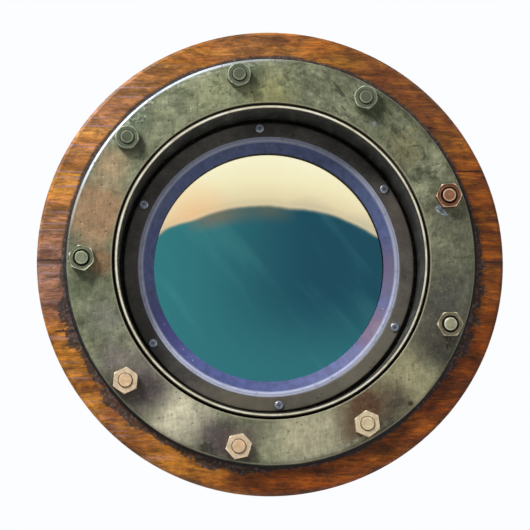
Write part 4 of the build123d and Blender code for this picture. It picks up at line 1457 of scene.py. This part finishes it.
    def _light(self) -> None:
        """Build and dress the hinged light, its glass and its rings."""
        casting = LightBronze("light_bronze", tone(160, 136, 94), tone(124, 104, 70), tone(78, 66, 48), patches(
            (108, 200, 30, (96, 108, 82), 0.5, 0.8), (108, 60, 26, (96, 108, 82), 0.45, 0.8)),
            roughness=0.44, metallic=0.6, pit_share=0.1)
        self._paint(casting.make(), "light_frame")
        low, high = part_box("retaining_ring")
        seal_low, seal_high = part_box("glazing_seal")
        outer, bore, front, back = high.x, seal_high.x, low.y, high.y
        # Painted light and shade on the retaining ring: lighter, browner patches on the right, lower right and bottom,
        # where light falls, and a dark patch on the left, in the spigot's shadow.
        dark = WeatheredBronze("dark_bronze_retainer", tone(112, 108, 100), tone(86, 83, 78), tone(58, 56, 53), patches(
            (103, -50, 80, (142, 136, 118), 0.7, 0.9), (103, -100, 50, (128, 120, 98), 0.6, 0.9),
            (103, 20, 40, (104, 92, 86), 0.6, 0.9), (103, 205, 60, (60, 60, 56), 0.6, 0.9)),
            roughness=0.5, metallic=0.4, pit_share=0.08)
        self._turned("retaining_ring_turned", "retaining_ring", "dark_bronze", dark.make(),
                     even((bore, back), (bore, front + 0.5 * MM), 4),
                     arc((bore + 0.5 * MM, front + 0.5 * MM), 0.5 * MM, 180, 270, 4),
                     even((bore + 0.8 * MM, front), (outer - 1.2 * MM, front), 8),
                     arc((outer - 0.9 * MM, front + 0.9 * MM), 0.9 * MM, 270, 360, 5),
                     even((outer, front + 1.1 * MM), (outer, back), 3),
                     even((outer, back), (bore, back), 5))
        lip, top, base, step = bore - 3.6 * MM, seal_low.y, seal_high.y, 0.9 * MM
        self._turned("glazing_seal_moulded", "glazing_seal", "blue_rubber", PaintedSeal("blue_grey_seal", lip).make(),
                     even((SIGHT_RADIUS, base), (bore - 1.8 * MM, base), 4),
                     even((bore - 1.8 * MM, base), (bore, back), 3),
                     even((bore, back), (bore, top + 0.4 * MM), 3),
                     arc((bore - 0.5 * MM, top + 0.5 * MM), 0.5 * MM, 0, -90, 4),
                     arc((lip + 0.6 * MM, top + 0.6 * MM), 0.6 * MM, 270, 180, 5),
                     even((lip, top + 0.7 * MM), (lip - 0.1 * MM, top + step), 2),
                     even((lip - 0.1 * MM, top + step), (SIGHT_RADIUS + 0.5 * MM, base - 1.1 * MM), 12),
                     arc((SIGHT_RADIUS + 0.6 * MM, base - 0.5 * MM), 0.6 * MM, 270, 180, 4))
        self._glass(*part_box("glass_pane"))
        self._paint(Compound("back_gasket_rubber", tone(24, 24, 25), tone(52, 50, 47), 300.0).make(),
                    "glass_back_gasket")
        screws = [f"retaining_screw_{number}" for number in range(1, 7)]
        steel = ScrewSteel("screw_steel", tuple(self._middle(screw) for screw in screws), 1.6 * MM, 0.9 * MM)
        self._paint(steel.make(), *screws)

    def _glass(self, low: Vector, high: Vector) -> None:
        """Build the glass as a smooth disc with ground edges, between the pane's lowest and highest corners."""
        outer, ground, hub = high.x, 0.8 * MM, 0.02 * high.x
        outline = np.concatenate([
            even((hub, low.y), (outer - ground, low.y), 10),
            even((outer - ground, low.y), (outer, low.y + ground), 2),
            even((outer, low.y + ground), (outer, high.y - ground), 3),
            even((outer, high.y - ground), (outer - ground, high.y), 2),
            even((outer - ground, high.y), (hub, high.y), 10), [[hub, high.y]]])
        disc = around_axis(outline[:, :1], outline[:, 1:], turns(240))
        glass = SeaGlass("sea_tinted_glass", 0.54 * SIGHT_RADIUS, 3.3, 0.7 * SIGHT_RADIUS)
        make_piece("glass_disc", [Shell(disc)], glass.make(), "light", ["glass_pane"], 30.0)

    def _dogs(self) -> None:
        """Build and dress both dogs."""
        bronze = PlainMetal("dog_bronze", tone(190, 158, 108), tone(112, 92, 62), 0.75, 0.4).make()
        nut = PlainMetal("wing_nut_bronze", tone(202, 172, 122), tone(122, 102, 70), 0.75, 0.42, 0.46).make()
        for side in ("upper", "lower"):
            dog = Dog.read(side)
            dog.swing_bolt(bronze)
            dog.wing_nut(nut)
            self._paint(nut, f"dog_washer_{side}")

    def _growths(self) -> None:
        """Build the crusts of corrosion on the outboard ring."""
        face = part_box("trim_ring")[0].y
        chalk = SaltCrust("chalky_crust", tone(134, 146, 152), tone(62, 70, 76)).make()
        green = SaltCrust("green_crust", tone(134, 144, 118), tone(86, 96, 70)).make()
        Crust("crust_chalk_right", 130.5 * MM, 16.5, (5.4 * MM, 2.6 * MM), 140.0, face, 0.8 * MM, 21).build(chalk)
        Crust("crust_green_upper_left", 141.5 * MM, 133.0, (5.2 * MM, 3.2 * MM), 40.0, face, 0.8 * MM, 33).build(green)
        Crust("crust_green_top", 143.5 * MM, 96.0, (4.4 * MM, 2.2 * MM), 8.0, face, 0.6 * MM, 47).build(green)


# --- stage ---


@dataclass
class Studio:
    """The floor, the soft lights and the camera."""

    distance: float = 1.63
    azimuth: float = -2.34
    elevation: float = -6.52
    lens: float = 151.3
    floor_drop: float = 1.3
    floor_reach: float = 24.0
    floor_glow: float = 0.5
    sky_light: float = 0.34
    sky_seen: float = 1.0

    def build(self) -> None:
        """Build the floor, the lights, the sky and the camera."""
        self._floor()
        self._lamp("key_soft", (-0.95, -1.15, 1.15), 0.4, 28.0, (1.0, 0.98, 0.96))
        self._lamp("rim_cool", (-0.8, -0.2, 0.9), 0.35, 9.0, (0.82, 0.9, 1.0))
        self._lamp("fill_soft", (1.3, -1.1, -0.1), 0.9, 3.5, (1.0, 0.97, 0.93))
        self._lamp("back_soft", (0.9, 1.5, 1.1), 0.7, 34.0, (1.0, 0.99, 0.97))
        self._sky()
        self._camera()

    def _floor(self) -> None:
        """Lay a plain pale floor well under the porthole."""
        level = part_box("pad_lower")[0].z - self.floor_drop
        cells = 8
        side = np.linspace(-self.floor_reach, self.floor_reach, cells + 1)
        across, depth = np.meshgrid(side, side, indexing="ij")
        points = np.stack([across, depth, np.full_like(across, level)], axis=-1).reshape(-1, 3)
        first = np.arange(cells)[:, None] * (cells + 1) + np.arange(cells)[None, :]
        quads = np.stack([first, first + cells + 1, first + cells + 2, first + 1], axis=-1).reshape(-1, 4)
        mesh = bpy.data.meshes.new("floor")
        mesh.from_pydata(points.tolist(), [], quads.tolist())
        paint = Paint("pale_floor", tone(226, 226, 224))
        paint.colour = paint.mix(paint.noise(3.0, 3.0), tone(224, 224, 222), tone(232, 231, 228))
        glow = paint.times(paint.node("LightPath").outputs["Is Camera Ray"], self.floor_glow)
        mesh.materials.append(paint.done(0.9, Emission_Color=(1.0, 1.0, 1.0), Emission_Strength=glow))
        link(bpy.data.objects.new("floor", mesh))

    def _lamp(self, name: str, place: Tuple[float, float, float], size: float, power: float, colour: Colour) -> None:
        """Add a square soft lamp that faces the porthole.

        Args:
            name: the lamp's name.
            place: where it hangs.
            size: its side, in metres.
            power: its power, in watts.
            colour: its colour.
        """
        data = bpy.data.lights.new(name, "AREA")
        data.energy, data.size, data.color = power, size, colour
        self._aim(bpy.data.objects.new(name, data), Vector(place), -Vector(place))

    def _aim(self, thing: bpy.types.Object, place: Vector, ahead: Vector) -> None:
        """Put a lamp or camera in its place, looking ahead."""
        thing.location = place
        thing.rotation_euler = ahead.to_track_quat("-Z", "Y").to_euler()
        link(thing)

    def _sky(self) -> None:
        """Set a plain pale surround, dimmer as a light than as a backdrop so that shadows keep their depth."""
        world = bpy.data.worlds.new("pale_surround")
        world.use_nodes = True
        graph = Graph(world.node_tree)
        background = world.node_tree.nodes["Background"]
        path = graph.node("LightPath")
        seen = graph.math("ADD", path.outputs["Is Camera Ray"], path.outputs["Is Transmission Ray"], clamp=True)
        graph.feed(background.inputs["Color"], (0.97, 0.98, 1.0))
        graph.feed(background.inputs["Strength"], graph.blend(seen, self.sky_light, self.sky_seen))
        bpy.context.scene.world = world

    def _camera(self) -> None:
        """Set the camera outboard of the porthole, a little below its axis."""
        turn, tilt = math.radians(self.azimuth), math.radians(self.elevation)
        back = Vector((math.sin(turn) * math.cos(tilt), -math.cos(turn) * math.cos(tilt), math.sin(tilt)))
        aim = Vector((-4.8 * MM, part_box("trim_ring")[0].y, -3.9 * MM))
        data = bpy.data.cameras.new("camera")
        data.lens, data.sensor_width, data.clip_end = self.lens, 36.0, 50.0
        camera = bpy.data.objects.new("camera", data)
        self._aim(camera, aim + back * self.distance, -back)
        bpy.context.scene.camera = camera


def main() -> None:
    """Build the porthole and its stage."""
    logging.basicConfig(level=logging.INFO, format="%(name)s %(message)s")
    Porthole().build()
    Studio().build()
    bpy.context.scene.view_settings.view_transform = "Standard"


if __name__ == "__main__":
    main()
